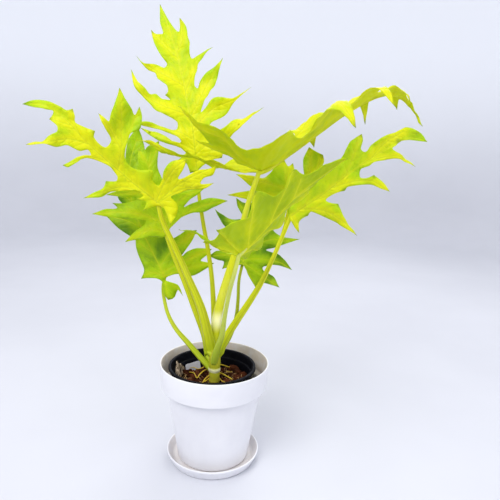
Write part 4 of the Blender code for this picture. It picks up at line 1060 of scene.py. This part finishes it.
def make_soil_bed(material):
    """The fine soil between the chips."""
    work = bmesh.new()
    rim = soil_radius(SOIL_HEIGHT) + 0.8
    flat = [(rim * (1.0 - ring / SOIL_BED_RINGS), 0.0) for ring in range(SOIL_BED_RINGS + 1)]
    spin_round(work, upright_line(work, [(rim - 0.8, -6.0)] + flat), SOIL_BED_STEPS)
    for vert in work.verts:
        vert.co += Vector((*NURSERY_CENTRE, 0.0))
        fine = noise.noise(vert.co * 0.45) * 1.3
        vert.co.z += soil_top(vert.co.x, vert.co.y) + heaped(vert.co.x, vert.co.y) + fine - 0.8
    bmesh.ops.recalc_face_normals(work, faces=work.faces)
    return add_piece("soil_bed", work, (material,), ["soil"])


def make_chips(material):
    """Chips of bark strewn over the soil, each one broken and turned its own way."""
    draw = random.Random(CHIP_SEED)
    work = bmesh.new()
    tone = work.verts.layers.float.new("tone")
    rim = soil_radius(SOIL_HEIGHT)
    for index in range(CHIP_COUNT):
        x, y, reach = strewn(draw, rim - 2.0)
        size = draw.uniform(*CHIP_SIZES) * (0.8 if index % 3 else 1.35)
        in_stem = math.hypot(x - STEM_PLACE[0], y - STEM_PLACE[1]) < STEM_RADIUS + size * 0.6
        if in_stem or reach > rim - size * 0.8:
            continue
        made = bmesh.ops.create_icosphere(work, subdivisions=2, radius=1.0)["verts"]
        seed = Vector((index * 3.7, index * 1.3, 2.0))
        turn = Matrix.Rotation(draw.uniform(0, 6.3), 3, "Z")
        turn = turn @ Matrix.Rotation(draw.uniform(-0.7, 0.7), 3, "X")
        stretch = Vector([size * draw.uniform(*limits) for limits in ((0.8, 1.2), (0.6, 0.95), (0.5, 0.85))])
        place = Vector((x, y, soil_top(x, y) + heaped(x, y) + stretch.z * draw.uniform(-0.2, 0.8)))
        shade = draw.random()
        for vert in made:
            rough = 1.0 + 0.5 * noise.noise(vert.co * 1.5 + seed) + 0.22 * noise.noise(vert.co * 4.0 + seed)
            vert[tone] = shade
            vert.co = turn @ (vert.co * stretch * rough) + place
    return add_piece("bark_chips", work, (material,), smooth=False)


def make_fibres(material):
    """Thin coir hairs that lie among the chips."""
    draw = random.Random(FIBRE_SEED)
    curve = bpy.data.curves.new("coir_fibres", "CURVE")
    curve.dimensions = "3D"
    curve.bevel_depth = FIBRE_RADIUS * MM
    curve.bevel_resolution = 0
    curve.use_fill_caps = True
    rim = soil_radius(SOIL_HEIGHT) - 6.0
    for _ in range(FIBRE_COUNT):
        x, y = strewn(draw, rim)[:2]
        heading = draw.uniform(0.0, FULL_TURN)
        bend = draw.uniform(-0.5, 0.5)
        line = curve.splines.new("POLY")
        line.points.add(FIBRE_STEPS)
        for step in range(FIBRE_STEPS + 1):
            arch = math.sin(math.pi * step / FIBRE_STEPS)
            height = SOIL_HEIGHT + heaped(x, y) + 3.0 + draw.uniform(0.0, 4.0) * arch
            line.points[step].co = (x * MM, y * MM, height * MM, 1.0)
            heading += bend * 0.5
            if math.hypot(x - NURSERY_CENTRE[0], y - NURSERY_CENTRE[1]) < rim + 2.0:
                x += math.cos(heading) * FIBRE_STRIDE
                y += math.sin(heading) * FIBRE_STRIDE
    temporary = bpy.data.objects.new("coir_fibres", curve)
    bpy.context.scene.collection.objects.link(temporary)
    mesh = evaluated_mesh(temporary)
    bpy.data.objects.remove(temporary, do_unlink=True)
    return add_piece("coir_fibres", mesh, (material,))


DRY_SEED = 41
DRY_STRIPS = 7
DRY_COLUMNS = 8
DRY_ROWS = 26
DRY_THICKNESS = 0.5


def make_dry_sheath(material):
    """The dried sheath, split into crumpled strips that stand inside the inner pot's wall, up to its rim."""
    draw = random.Random(DRY_SEED)
    work = bmesh.new()
    for strip in range(DRY_STRIPS):
        sheet = bmesh.ops.create_grid(work, x_segments=DRY_COLUMNS, y_segments=DRY_ROWS, size=0.5)["verts"]
        middle = (strip + 0.5) / DRY_STRIPS * 0.94
        width = draw.uniform(0.75, 1.15) / DRY_STRIPS
        rise = draw.uniform(0.75, 1.30)
        lean = draw.uniform(-0.06, 0.10)
        for vert in sheet:
            across = vert.co.x
            up = (vert.co.y + 0.5) * rise
            along = middle + across * width * (1.0 - 0.45 * up / rise) + lean * up
            base = sheath_point(min(max(along, 0.0), 1.0), min(up, 1.0))
            base.z += max(up - 1.0, 0.0) * (SHEATH_HEIGHTS[1] - SHEATH_HEIGHTS[0])
            inward = Vector((NURSERY_CENTRE[0] - base.x, NURSERY_CENTRE[1] - base.y, 0.0)).normalized()
            crumple = noise.noise(Vector((along * 14.0, up * 2.2, strip * 1.7))) * 2.0
            curl = 2.6 * (across * 2.0) ** 2
            vert.co = base + inward * (1.4 + 0.5 * strip % 2 + crumple + curl)
    piece = add_piece("dried_sheath", work, (material,), ["dry_sheath"])
    shell = piece.modifiers.new("thickness", "SOLIDIFY")
    shell.thickness = DRY_THICKNESS * MM
    shell.offset = 0.0
    return applied(piece)


def make_tag(material):
    """The blank tag, its corners rounded."""
    work = bmesh.new()
    bmesh.ops.create_cube(work, size=1.0)
    bmesh.ops.scale(work, vec=TAG_SIZE, verts=work.verts)
    corners = [edge for edge in work.edges if abs(edge.verts[0].co.y - edge.verts[1].co.y) > 0.5]
    bmesh.ops.bevel(work, geom=corners, offset=2.4, segments=5, profile=0.5, affect="EDGES", material=-1)
    turn = Matrix.Rotation(TAG_TURN, 4, "Z") @ Matrix.Rotation(TAG_LEAN, 4, "X")
    bmesh.ops.transform(work, matrix=Matrix.Translation(Vector(TAG_PLACE)) @ turn, verts=work.verts)
    return add_piece("blank_tag", work, (material,), ["plant_tag"], smooth=False)


# Pots

POT_STEPS = 144
CORNER_REACH = 0.9
CORNER_STEPS = 4


def rounded_profile(profile):
    """The profile with its corners rounded, each by an arc that reaches only a little way along its sides."""
    dense = [profile[0]]
    for before, corner, after in zip(profile, profile[1:], profile[2:]):
        back = Vector(before) - Vector(corner)
        ahead = Vector(after) - Vector(corner)
        first = back.normalized() * min(CORNER_REACH, back.length * 0.45)
        last = ahead.normalized() * min(CORNER_REACH, ahead.length * 0.45)
        for step in range(CORNER_STEPS + 1):
            t = step / CORNER_STEPS
            dense.append(tuple(Vector(corner) + first * (1.0 - t) ** 2 + last * t ** 2))
    dense.append(profile[-1])
    return dense


def make_turned(name, profile, material, node, centre=(0.0, 0.0)):
    """A pot or dish turned from its profile; its material can tell the inner side from the outer."""
    work = bmesh.new()
    inner = work.verts.layers.float.new("inner")
    dense = rounded_profile(profile)
    verts = upright_line(work, dense)
    highest = max(range(len(dense)), key=lambda index: dense[index][1])
    for index, vert in enumerate(verts):
        vert[inner] = 1.0 if index > highest + 3 else 0.0
    spin_round(work, verts, POT_STEPS, 0.01)
    bmesh.ops.translate(work, vec=(*centre, 0.0), verts=work.verts)
    bmesh.ops.recalc_face_normals(work, faces=work.faces)
    return add_piece(name, work, (material,), [node])


# Materials

class Wiring:
    """Adds nodes to one node tree; each method gives the output of the node that it adds."""

    def __init__(self, tree):
        self.nodes = tree.nodes
        self.links = tree.links

    def put(self, value, socket):
        """Gives a socket a number, a colour or another node's output."""
        if isinstance(value, bpy.types.NodeSocket):
            self.links.new(value, socket)
        elif isinstance(value, tuple):
            socket.default_value = (*value, 1.0)
        else:
            socket.default_value = value

    def place(self):
        """A place in the piece's own frame."""
        return self.nodes.new("ShaderNodeTexCoord").outputs["Object"]

    def height(self, place):
        """How high a place lies."""
        node = self.nodes.new("ShaderNodeSeparateXYZ")
        self.put(place, node.inputs["Vector"])
        return node.outputs["Z"]

    def attribute(self, name):
        """The number that a mesh keeps under a name."""
        node = self.nodes.new("ShaderNodeAttribute")
        node.attribute_name = name
        return node.outputs["Fac"]

    def filled(self, kind, output, **given):
        """The output of a new node whose inputs are given by name."""
        node = self.nodes.new(kind)
        for label, value in given.items():
            self.put(value, node.inputs[label])
        return node.outputs[output]

    def noise(self, place, size, detail=4.0, roughness=0.55):
        """A cloudy pattern from 0 to 1."""
        return self.filled("ShaderNodeTexNoise", "Fac", Vector=place, Scale=size, Detail=detail,
                           Roughness=roughness)

    def spread(self, value, low, high, to_low=0.0, to_high=1.0):
        """Takes a value smoothly from one range to another."""
        node = self.nodes.new("ShaderNodeMapRange")
        node.interpolation_type = "SMOOTHSTEP"
        for socket, given in zip(node.inputs, (value, low, high, to_low, to_high)):
            self.put(given, socket)
        return node.outputs["Result"]

    def blend(self, share, first, second):
        """A colour between two."""
        node = self.nodes.new("ShaderNodeMix")
        node.data_type = "RGBA"
        for label, value in (("Factor", share), ("A", first), ("B", second)):
            self.put(value, node.inputs[label])
        return node.outputs["Result"]

    def calculate(self, operation, first, second):
        """A sum or another operation on two numbers."""
        node = self.nodes.new("ShaderNodeMath")
        node.operation = operation
        self.put(first, node.inputs[0])
        self.put(second, node.inputs[1])
        return node.outputs["Value"]

    def relief(self, height, strength, distance):
        """A normal that makes a surface look raised where the height is greater."""
        return self.filled("ShaderNodeBump", "Normal", Height=height, Strength=strength, Distance=distance)

    def effect(self, name, place, **given):
        """One of the shared effects, at a place and with the inputs given."""
        node = self.nodes.new("ShaderNodeGroup")
        node.node_tree = bpy.data.node_groups[name]
        self.put(place, node.inputs["Place"])
        for label, value in given.items():
            self.put(value, node.inputs[label])
        return node.outputs[0]


def new_effect(name, output, kind, **inputs):
    """A node group with a place, named numbers and one output: its wiring, inputs and the output to fill."""
    tree = bpy.data.node_groups.new(name, "ShaderNodeTree")
    tree.interface.new_socket("Place", in_out="INPUT", socket_type="NodeSocketVector")
    for label, value in inputs.items():
        tree.interface.new_socket(label, in_out="INPUT", socket_type="NodeSocketFloat").default_value = value
    tree.interface.new_socket(output, in_out="OUTPUT", socket_type=kind)
    given = tree.nodes.new("NodeGroupInput").outputs
    return Wiring(tree), given, tree.nodes.new("NodeGroupOutput").inputs[0]


def make_effects():
    """The effects that the materials share: each puts out a value, a mask or a normal."""
    number = "NodeSocketFloat"
    work, given, result = new_effect("mottle", "Value", number, Size=20.0, Detail=4.0, Least=0.0, Most=1.0)
    cloud = work.noise(given["Place"], given["Size"], given["Detail"])
    work.put(work.spread(cloud, 0.3, 0.7, given["Least"], given["Most"]), result)

    work, given, result = new_effect("speckle", "Mask", number, Size=75.0, From=0.6, To=0.8, Amount=0.3)
    patches = work.noise(given["Place"], given["Size"], 6.0, 0.7)
    work.put(work.spread(patches, given["From"], given["To"], 0.0, given["Amount"]), result)

    work, given, result = new_effect("streaks", "Value", number, Size=400.0, Squeeze=0.12)
    squeeze = work.filled("ShaderNodeCombineXYZ", "Vector", X=1.0, Y=1.0, Z=given["Squeeze"])
    drawn_out = work.nodes.new("ShaderNodeVectorMath")
    drawn_out.operation = "MULTIPLY"
    work.put(given["Place"], drawn_out.inputs[0])
    work.put(squeeze, drawn_out.inputs[1])
    work.put(work.noise(drawn_out.outputs["Vector"], given["Size"], 5.0), result)

    work, given, result = new_effect("level_band", "Mask", number, Start=0.0, Low=0.1, High=0.2, End=0.3,
                                     Waver=0.0)
    waver = work.calculate("MULTIPLY", work.noise(given["Place"], 160.0), given["Waver"])
    level = work.calculate("ADD", work.height(given["Place"]), waver)
    rise = work.spread(level, given["Start"], given["Low"])
    fall = work.spread(level, given["High"], given["End"], 1.0, 0.0)
    work.put(work.calculate("MULTIPLY", rise, fall), result)

    work, given, result = new_effect("edge_wear", "Mask", number, Size=60.0, Amount=0.2)
    edges = work.spread(work.nodes.new("ShaderNodeNewGeometry").outputs["Pointiness"], 0.505, 0.56)
    patches = work.spread(work.noise(given["Place"], given["Size"]), 0.35, 0.65, 0.3, 1.0)
    worn = work.calculate("MULTIPLY", edges, patches)
    work.put(work.calculate("MULTIPLY", worn, given["Amount"]), result)

    work, given, result = new_effect("grain", "Normal", "NodeSocketVector", Size=500.0, Strength=0.1,
                                     Distance=0.0003)
    fine = work.noise(given["Place"], given["Size"], 5.0, 0.65)
    work.put(work.relief(fine, given["Strength"], given["Distance"]), result)


def new_material(name, **settings):
    """A material, its wiring, its shader and its place; settings are the shader's own constant values."""
    material = bpy.data.materials.new(name)
    material.use_nodes = True
    work = Wiring(material.node_tree)
    shader = material.node_tree.nodes["Principled BSDF"].inputs
    for label, value in settings.items():
        shader[label.replace("_", " ")].default_value = value
    return material, work, shader, work.place()


# Each side of a leaf: its greens from deep to clear, its pale flanks beside the ribs, painted as highlight on
# the ridges there, and its fine lines
LEAF_COLOURS = dict(
    upper=dict(deep=(0.090, 0.220, 0.002), middle=(0.36, 0.53, 0.002), clear=(0.62, 0.625, 0.002),
               pale=(0.76, 0.76, 0.02), line=(0.50, 0.57, 0.008), gloss=0.46),
    lower=dict(deep=(0.16, 0.30, 0.003), middle=(0.38, 0.50, 0.003), clear=(0.64, 0.67, 0.003),
               pale=(0.76, 0.78, 0.03), line=(0.70, 0.72, 0.02), gloss=0.58))
TIP_COLOUR = (0.13, 0.19, 0.012)


def leaf_material(side):
    """One side of a leaf: yellow to deep green by its tone, painted shade between the ribs, fine ribs, paler
    flanks painted as highlight beside the ribs and a soft mottle.
    """
    colours = LEAF_COLOURS[side]
    material, work, shader, place = new_material(
        "leaf_" + side, Subsurface_Weight=0.45, Subsurface_Scale=0.0015, Subsurface_Radius=(0.8, 1.0, 0.05),
        Specular_IOR_Level=0.16)
    tone = work.attribute("tone")
    midrib_gap = work.attribute("midrib_gap")
    rib_gap = work.attribute("rib_gap")
    vein_gap = work.attribute("vein_gap")
    # Painted shade: the tone falls away from the ribs, so the hollows between them are greener
    mottled_tone_with_painted_shade = tone
    for change in (work.effect("mottle", place, Size=26.0, Detail=3.0, Least=-0.13, Most=0.12),
                   work.effect("mottle", place, Size=210.0, Least=-0.03, Most=0.03),
                   work.spread(rib_gap, 1.5, 10.0, 0.0, -0.17)):
        mottled_tone_with_painted_shade = work.calculate("ADD", mottled_tone_with_painted_shade, change)
    low_part = work.blend(work.spread(mottled_tone_with_painted_shade, 0.0, 0.5), colours["deep"], colours["middle"])
    colour = work.blend(work.spread(mottled_tone_with_painted_shade, 0.4, 0.95), low_part, colours["clear"])
    # Painted highlight: paler flanks beside the ribs and the midrib, stronger on yellower leaves
    painted_ridge_highlight = work.spread(tone, 0.35, 0.85, 0.25, 1.0)
    for gap, reach, share in ((rib_gap, (0.4, 3.8), 0.24), (midrib_gap, (0.8, 5.0), 0.34)):
        flank = work.calculate("MULTIPLY", work.spread(gap, *reach, share, 0.0), painted_ridge_highlight)
        colour = work.blend(flank, colour, colours["pale"])
    for gap, reach, share in ((work.attribute("margin_gap"), (0.0, 0.9), 0.30), (vein_gap, (0.05, 0.8), 0.14),
                              (rib_gap, (0.2, 1.1), 0.60), (midrib_gap, (0.4, 1.5), 0.75)):
        colour = work.blend(work.spread(gap, *reach, share, 0.0), colour, colours["line"])
    colour = work.blend(work.spread(work.attribute("tip_gap"), 0.5, 7.0, 0.65, 0.0), colour, TIP_COLOUR)
    work.put(colour, shader["Base Color"])
    gloss = colours["gloss"]
    gloss = work.effect("mottle", place, Size=210.0, Least=gloss - 0.05, Most=gloss + 0.09)
    work.put(gloss, shader["Roughness"])
    height = work.calculate("ADD", work.spread(vein_gap, 0.0, 1.8), work.spread(rib_gap, 0.0, 2.4))
    height = work.calculate("ADD", height, work.effect("mottle", place, Size=210.0, Least=0.0, Most=0.25))
    work.put(work.relief(height, 0.5 if side == "upper" else -0.5, 0.0006), shader["Normal"])
    return material


def stalk_material(name, low, high, pale, painted_highlight_height=0.2, painted_highlight_share=0.0):
    """A smooth stalk: greener in its sheath, a band of painted highlight where asked, dark lines of painted
    shade and faint streaks that run along it.
    """
    material, work, shader, place = new_material(name, Subsurface_Weight=0.2, Subsurface_Scale=0.002,
                                                 Subsurface_Radius=(0.8, 1.0, 0.1), Specular_IOR_Level=0.22)
    streaks = work.effect("streaks", place, Size=420.0, Squeeze=0.12)
    colour = work.blend(work.spread(work.attribute("along"), 0.15, 0.95), low, high)
    colour = work.blend(work.effect("mottle", place, Size=35.0, Most=0.10), colour, pale)
    colour = work.blend(work.spread(streaks, 0.5, 0.75, 0.0, 0.40), colour, (0.34, 0.42, 0.004))
    # Painted shade: dark lines along the stalk
    shade_line = work.calculate("MULTIPLY", work.attribute("shade_line"), 0.62)
    colour = work.blend(shade_line, colour, (0.25, 0.26, 0.004))
    colour = work.blend(work.spread(work.height(place), 0.145, 0.200, 0.55, 0.0), colour, (0.34, 0.47, 0.02))
    # Painted highlight: a pale band round the stalk at the given height
    band = work.effect("level_band", place, Start=painted_highlight_height - 0.020, Low=painted_highlight_height, High=painted_highlight_height,
                       End=painted_highlight_height + 0.016)
    colour = work.blend(work.calculate("MULTIPLY", band, painted_highlight_share), colour, pale)
    work.put(colour, shader["Base Color"])
    work.put(work.spread(streaks, 0.3, 0.7, 0.32, 0.48), shader["Roughness"])
    work.put(work.relief(streaks, 0.25, 0.0004), shader["Normal"])
    return material


def root_material():
    """Golden young roots, browner here and there."""
    material, work, shader, place = new_material("root_skin", Specular_IOR_Level=0.2)
    colour = work.blend(work.effect("mottle", place, Size=150.0), (0.50, 0.33, 0.015), (0.66, 0.50, 0.03))
    colour = work.blend(work.effect("speckle", place, Size=260.0, From=0.55, To=0.75, Amount=0.5), colour,
                        (0.24, 0.11, 0.03))
    work.put(colour, shader["Base Color"])
    work.put(work.effect("mottle", place, Size=150.0, Least=0.4, Most=0.6), shader["Roughness"])
    work.put(work.effect("grain", place, Size=600.0, Strength=0.3), shader["Normal"])
    return material


def stem_material():
    """The stem: browner green near the soil, a pale ring and a green top."""
    material, work, shader, place = new_material("stem_skin", Roughness=0.5, Specular_IOR_Level=0.25)
    colour = work.blend(work.spread(work.height(place), 0.112, 0.134), (0.22, 0.17, 0.015),
                        (0.42, 0.43, 0.02))
    ring = work.effect("level_band", place, Start=0.1344, Low=0.1366, High=0.1389, End=0.1424, Waver=0.0012)
    colour = work.blend(ring, colour, (0.72, 0.72, 0.42))
    colour = work.blend(work.effect("speckle", place, Size=160.0, From=0.52, To=0.70, Amount=0.4), colour,
                        (0.25, 0.24, 0.06))
    work.put(colour, shader["Base Color"])
    work.put(work.effect("grain", place, Size=160.0, Strength=0.35, Distance=0.0006), shader["Normal"])
    return material


def white_plastic(name, stain):
    """Satin white moulded plastic: a faint brown stain on its inner side, a little dust and wear."""
    material, work, shader, place = new_material(name)
    colour = work.blend(work.effect("mottle", place, Size=14.0), (0.72, 0.72, 0.755), (0.78, 0.78, 0.81))
    streaked = work.spread(work.noise(place, 75.0, 6.0, 0.7), 0.30, 0.65, 0.45, 1.0)
    inside = work.calculate("MULTIPLY", work.calculate("MULTIPLY", work.attribute("inner"), streaked), stain)
    colour = work.blend(inside, colour, (0.60, 0.46, 0.32))
    colour = work.blend(work.effect("speckle", place, Size=75.0, From=0.66, To=0.82, Amount=0.10), colour,
                        (0.50, 0.48, 0.47))
    colour = work.blend(work.effect("edge_wear", place, Size=60.0, Amount=0.12), colour, (0.86, 0.86, 0.87))
    work.put(colour, shader["Base Color"])
    work.put(work.effect("mottle", place, Size=75.0, Detail=6.0, Least=0.30, Most=0.46), shader["Roughness"])
    work.put(work.effect("grain", place, Size=520.0, Strength=0.08, Distance=0.0002), shader["Normal"])
    return material


def black_plastic():
    """Thin black moulded plastic, dusted with soil here and there, its rim a little worn."""
    material, work, shader, place = new_material("black_moulded_plastic", Specular_IOR_Level=0.10)
    dust = work.effect("speckle", place, Size=95.0, From=0.58, To=0.80, Amount=0.25)
    colour = work.blend(dust, (0.0018, 0.0020, 0.0045), (0.06, 0.045, 0.035))
    colour = work.blend(work.effect("edge_wear", place, Size=80.0, Amount=0.30), colour, (0.10, 0.10, 0.13))
    work.put(colour, shader["Base Color"])
    work.put(work.effect("mottle", place, Size=95.0, Detail=6.0, Least=0.42, Most=0.70), shader["Roughness"])
    work.put(work.effect("grain", place, Size=600.0, Strength=0.12), shader["Normal"])
    return material


def bark_material(name, dark, warm, pale, size, by_tone):
    """Broken bark, or the fine soil between it."""
    material, work, shader, place = new_material(name, Roughness=0.95, Specular_IOR_Level=0.04)
    share = work.effect("mottle", place, Size=size, Detail=8.0)
    if by_tone:
        share = work.calculate("MULTIPLY", share, 0.45)
        share = work.calculate("ADD", share, work.calculate("MULTIPLY", work.attribute("tone"), 0.6))
    colour = work.blend(share, dark, warm)
    crumbs = work.effect("speckle", place, Size=size * 5.0, From=0.62, To=0.8, Amount=0.6)
    colour = work.blend(crumbs, colour, pale)
    work.put(colour, shader["Base Color"])
    work.put(work.effect("grain", place, Size=size, Strength=1.0, Distance=0.0016), shader["Normal"])
    return material


def paper_skin(name, dark, pale, size):
    """A dried, streaked skin."""
    material, work, shader, place = new_material(name, Roughness=0.85, Specular_IOR_Level=0.2)
    streaks = work.effect("streaks", place, Size=size, Squeeze=0.16)
    colour = work.blend(work.spread(streaks, 0.40, 0.60), dark, pale)
    spots = work.effect("speckle", place, Size=300.0, From=0.55, To=0.7, Amount=0.5)
    colour = work.blend(spots, colour, dark)
    work.put(colour, shader["Base Color"])
    work.put(work.relief(streaks, 0.8, 0.001), shader["Normal"])
    return material


def plain_surface(name, first, second, size, roughness):
    """A plain matt surface, its colour wandering a little between two."""
    material, work, shader, place = new_material(name, Roughness=roughness)
    colour = work.blend(work.effect("mottle", place, Size=size, Detail=3.0), first, second)
    colour = work.blend(work.effect("speckle", place, Size=240.0, From=0.64, To=0.8, Amount=0.3), colour,
                        (0.16, 0.12, 0.09))
    work.put(colour, shader["Base Color"])
    work.put(work.effect("grain", place, Size=size, Strength=0.1), shader["Normal"])
    return material


def backdrop_material():
    """Matt pale paint, painted a little lighter up the wall as painted light."""
    material, work, shader, place = new_material("pale_backdrop", Roughness=0.85)
    low = work.blend(work.effect("mottle", place, Size=2.5, Detail=3.0), (0.58, 0.59, 0.64),
                     (0.61, 0.62, 0.67))
    # Painted light: the wall gets lighter the higher it rises
    colour = work.blend(work.spread(work.height(place), 0.0, 1.1), low, (0.92, 0.94, 0.98))
    work.put(colour, shader["Base Color"])
    return material


# The stage

# Metres, unlike the sizes above
STAGE_RADIUS = 1.9
STAGE_CURVE = 1.0
STAGE_HEIGHT = 2.1
STAGE_STEPS = 96
CURVE_STEPS = 12
LIT_PLACE = (0.0, 0.0, 0.32)
WORLD_COLOUR = (0.90, 0.91, 0.96, 1.0)
WORLD_STRENGTH = 0.92
SENSOR_WIDTH = 36.0

# Lights: place, width, power and colour
LIGHTS = dict(key=((-0.8, -1.2, 1.7), 1.1, 28.0, (1.0, 0.99, 0.97)),
              fill=((1.3, -0.9, 0.9), 1.4, 8.0, (0.95, 0.96, 1.0)),
              back=((0.4, 1.0, 1.5), 1.0, 9.0, (1.0, 1.0, 0.98)))


def make_stage():
    """A round pale floor that curves up into a pale wall all round, some way off."""
    work = bmesh.new()
    profile = [(0.0, 0.0), (STAGE_RADIUS, 0.0)]
    for step in range(1, CURVE_STEPS + 1):
        turn = step * math.pi / (2 * CURVE_STEPS)
        profile.append((STAGE_RADIUS + STAGE_CURVE * math.sin(turn), STAGE_CURVE * (1.0 - math.cos(turn))))
    profile.append((STAGE_RADIUS + STAGE_CURVE, STAGE_HEIGHT))
    spin_round(work, upright_line(work, profile), STAGE_STEPS, 0.001)
    bmesh.ops.recalc_face_normals(work, faces=work.faces)
    mesh = mesh_from(work, "floor_sweep", scale=1.0)
    stage = bpy.data.objects.new("floor_sweep", mesh)
    bpy.context.scene.collection.objects.link(stage)
    mesh.materials.append(backdrop_material())


def area_light(name, place, size, power, colour):
    """A square light turned towards the plant."""
    data = bpy.data.lights.new(name, "AREA")
    data.shape = "SQUARE"
    data.size = size
    data.energy = power
    data.color = colour
    light = bpy.data.objects.new(name, data)
    light.location = place
    light.rotation_euler = (Vector(LIT_PLACE) - Vector(place)).to_track_quat("-Z", "Y").to_euler()
    bpy.context.scene.collection.objects.link(light)


def make_lights():
    """The lights, and a soft light from all round."""
    for name, light in LIGHTS.items():
        area_light(name, *light)
    world = bpy.data.worlds.new("soft_room")
    bpy.context.scene.world = world
    world.use_nodes = True
    around = world.node_tree.nodes["Background"].inputs
    around["Color"].default_value = WORLD_COLOUR
    around["Strength"].default_value = WORLD_STRENGTH


def make_camera():
    """The camera, at the viewing point."""
    data = bpy.data.cameras.new("viewer")
    data.sensor_width = SENSOR_WIDTH
    data.lens = SENSOR_WIDTH * VIEW_FOCUS / (2.0 * VIEW_CENTRE)
    camera = bpy.data.objects.new("viewer", data)
    turn = Matrix((RIGHTWARD, UPWARD, -FORWARD)).transposed().to_4x4()
    camera.matrix_world = Matrix.Translation(VIEW_PLACE * MM) @ turn
    bpy.context.scene.collection.objects.link(camera)
    bpy.context.scene.camera = camera
    bpy.context.scene.view_settings.view_transform = "Standard"


# Stalk skins: colour low down and high up, pale colour, and the height and strength of a band of painted
# highlight
STALK_LOOKS = dict(
    stalk=((0.52, 0.57, 0.003), (0.62, 0.64, 0.004), (0.76, 0.76, 0.10)),
    painted_highlight_stalk=((0.60, 0.62, 0.004), (0.64, 0.66, 0.004), (0.97, 0.93, 0.50), 0.207, 0.95),
    low_stalk=((0.50, 0.56, 0.006), (0.40, 0.52, 0.012), (0.70, 0.76, 0.16)),
    pale_stalk=((0.36, 0.45, 0.03), (0.60, 0.66, 0.13), (0.80, 0.82, 0.34)),
    green_stalk=((0.38, 0.46, 0.008), (0.30, 0.37, 0.006), (0.56, 0.62, 0.10)))
STALK_SKINS = dict(arching="painted_highlight_stalk", front="pale_stalk", low_right="green_stalk", low_left="low_stalk")


def build():
    """Makes every piece, its material, the stage, the lights and the camera."""
    make_effects()
    make_camera()
    make_stage()
    make_lights()
    white_pot = white_plastic("white_pot_plastic", 0.62)
    white_saucer = white_plastic("white_saucer_plastic", 0.30)
    make_turned("white_cover_pot", outer_pot_profile(), white_pot, "outer_pot")
    make_turned("white_dish", saucer_profile(), white_saucer, "saucer")
    make_turned("black_inner_pot", nursery_profile(), black_plastic(), "nursery_pot",
                NURSERY_CENTRE)
    make_soil_bed(bark_material("fine_soil", (0.002, 0.001, 0.0006), (0.014, 0.005, 0.0025),
                                (0.07, 0.033, 0.017), 260.0, False))
    make_chips(bark_material("bark_chip", (0.003, 0.001, 0.0006), (0.105, 0.030, 0.012),
                             (0.26, 0.12, 0.06), 170.0, True))
    make_fibres(plain_surface("coir", (0.20, 0.10, 0.04), (0.52, 0.33, 0.13), 200.0, 0.9))
    make_dry_sheath(paper_skin("dried_skin", (0.035, 0.02, 0.014), (0.56, 0.44, 0.31), 420.0))
    make_tag(plain_surface("blank_grey_card", (0.50, 0.50, 0.55), (0.60, 0.60, 0.66), 60.0, 0.6))
    make_trunk(stem_material())
    make_roots(root_material())
    upper = leaf_material("upper")
    lower = leaf_material("lower")
    skins = {name: stalk_material(name + "_skin", *looks) for name, looks in STALK_LOOKS.items()}
    for name, leaf in LEAVES.items():
        make_fine_blade(name, leaf, upper, lower)
        hint = Vector((0.0, -0.7, 0.7)) if leaf["behind"] else Vector((0.0, 0.6, 0.8))
        skin = skins[STALK_SKINS.get(name, "stalk")]
        swept_stalk("stalk_" + name, full_stalk_route(leaf), hint, skin, ["petiole_" + name])


build()
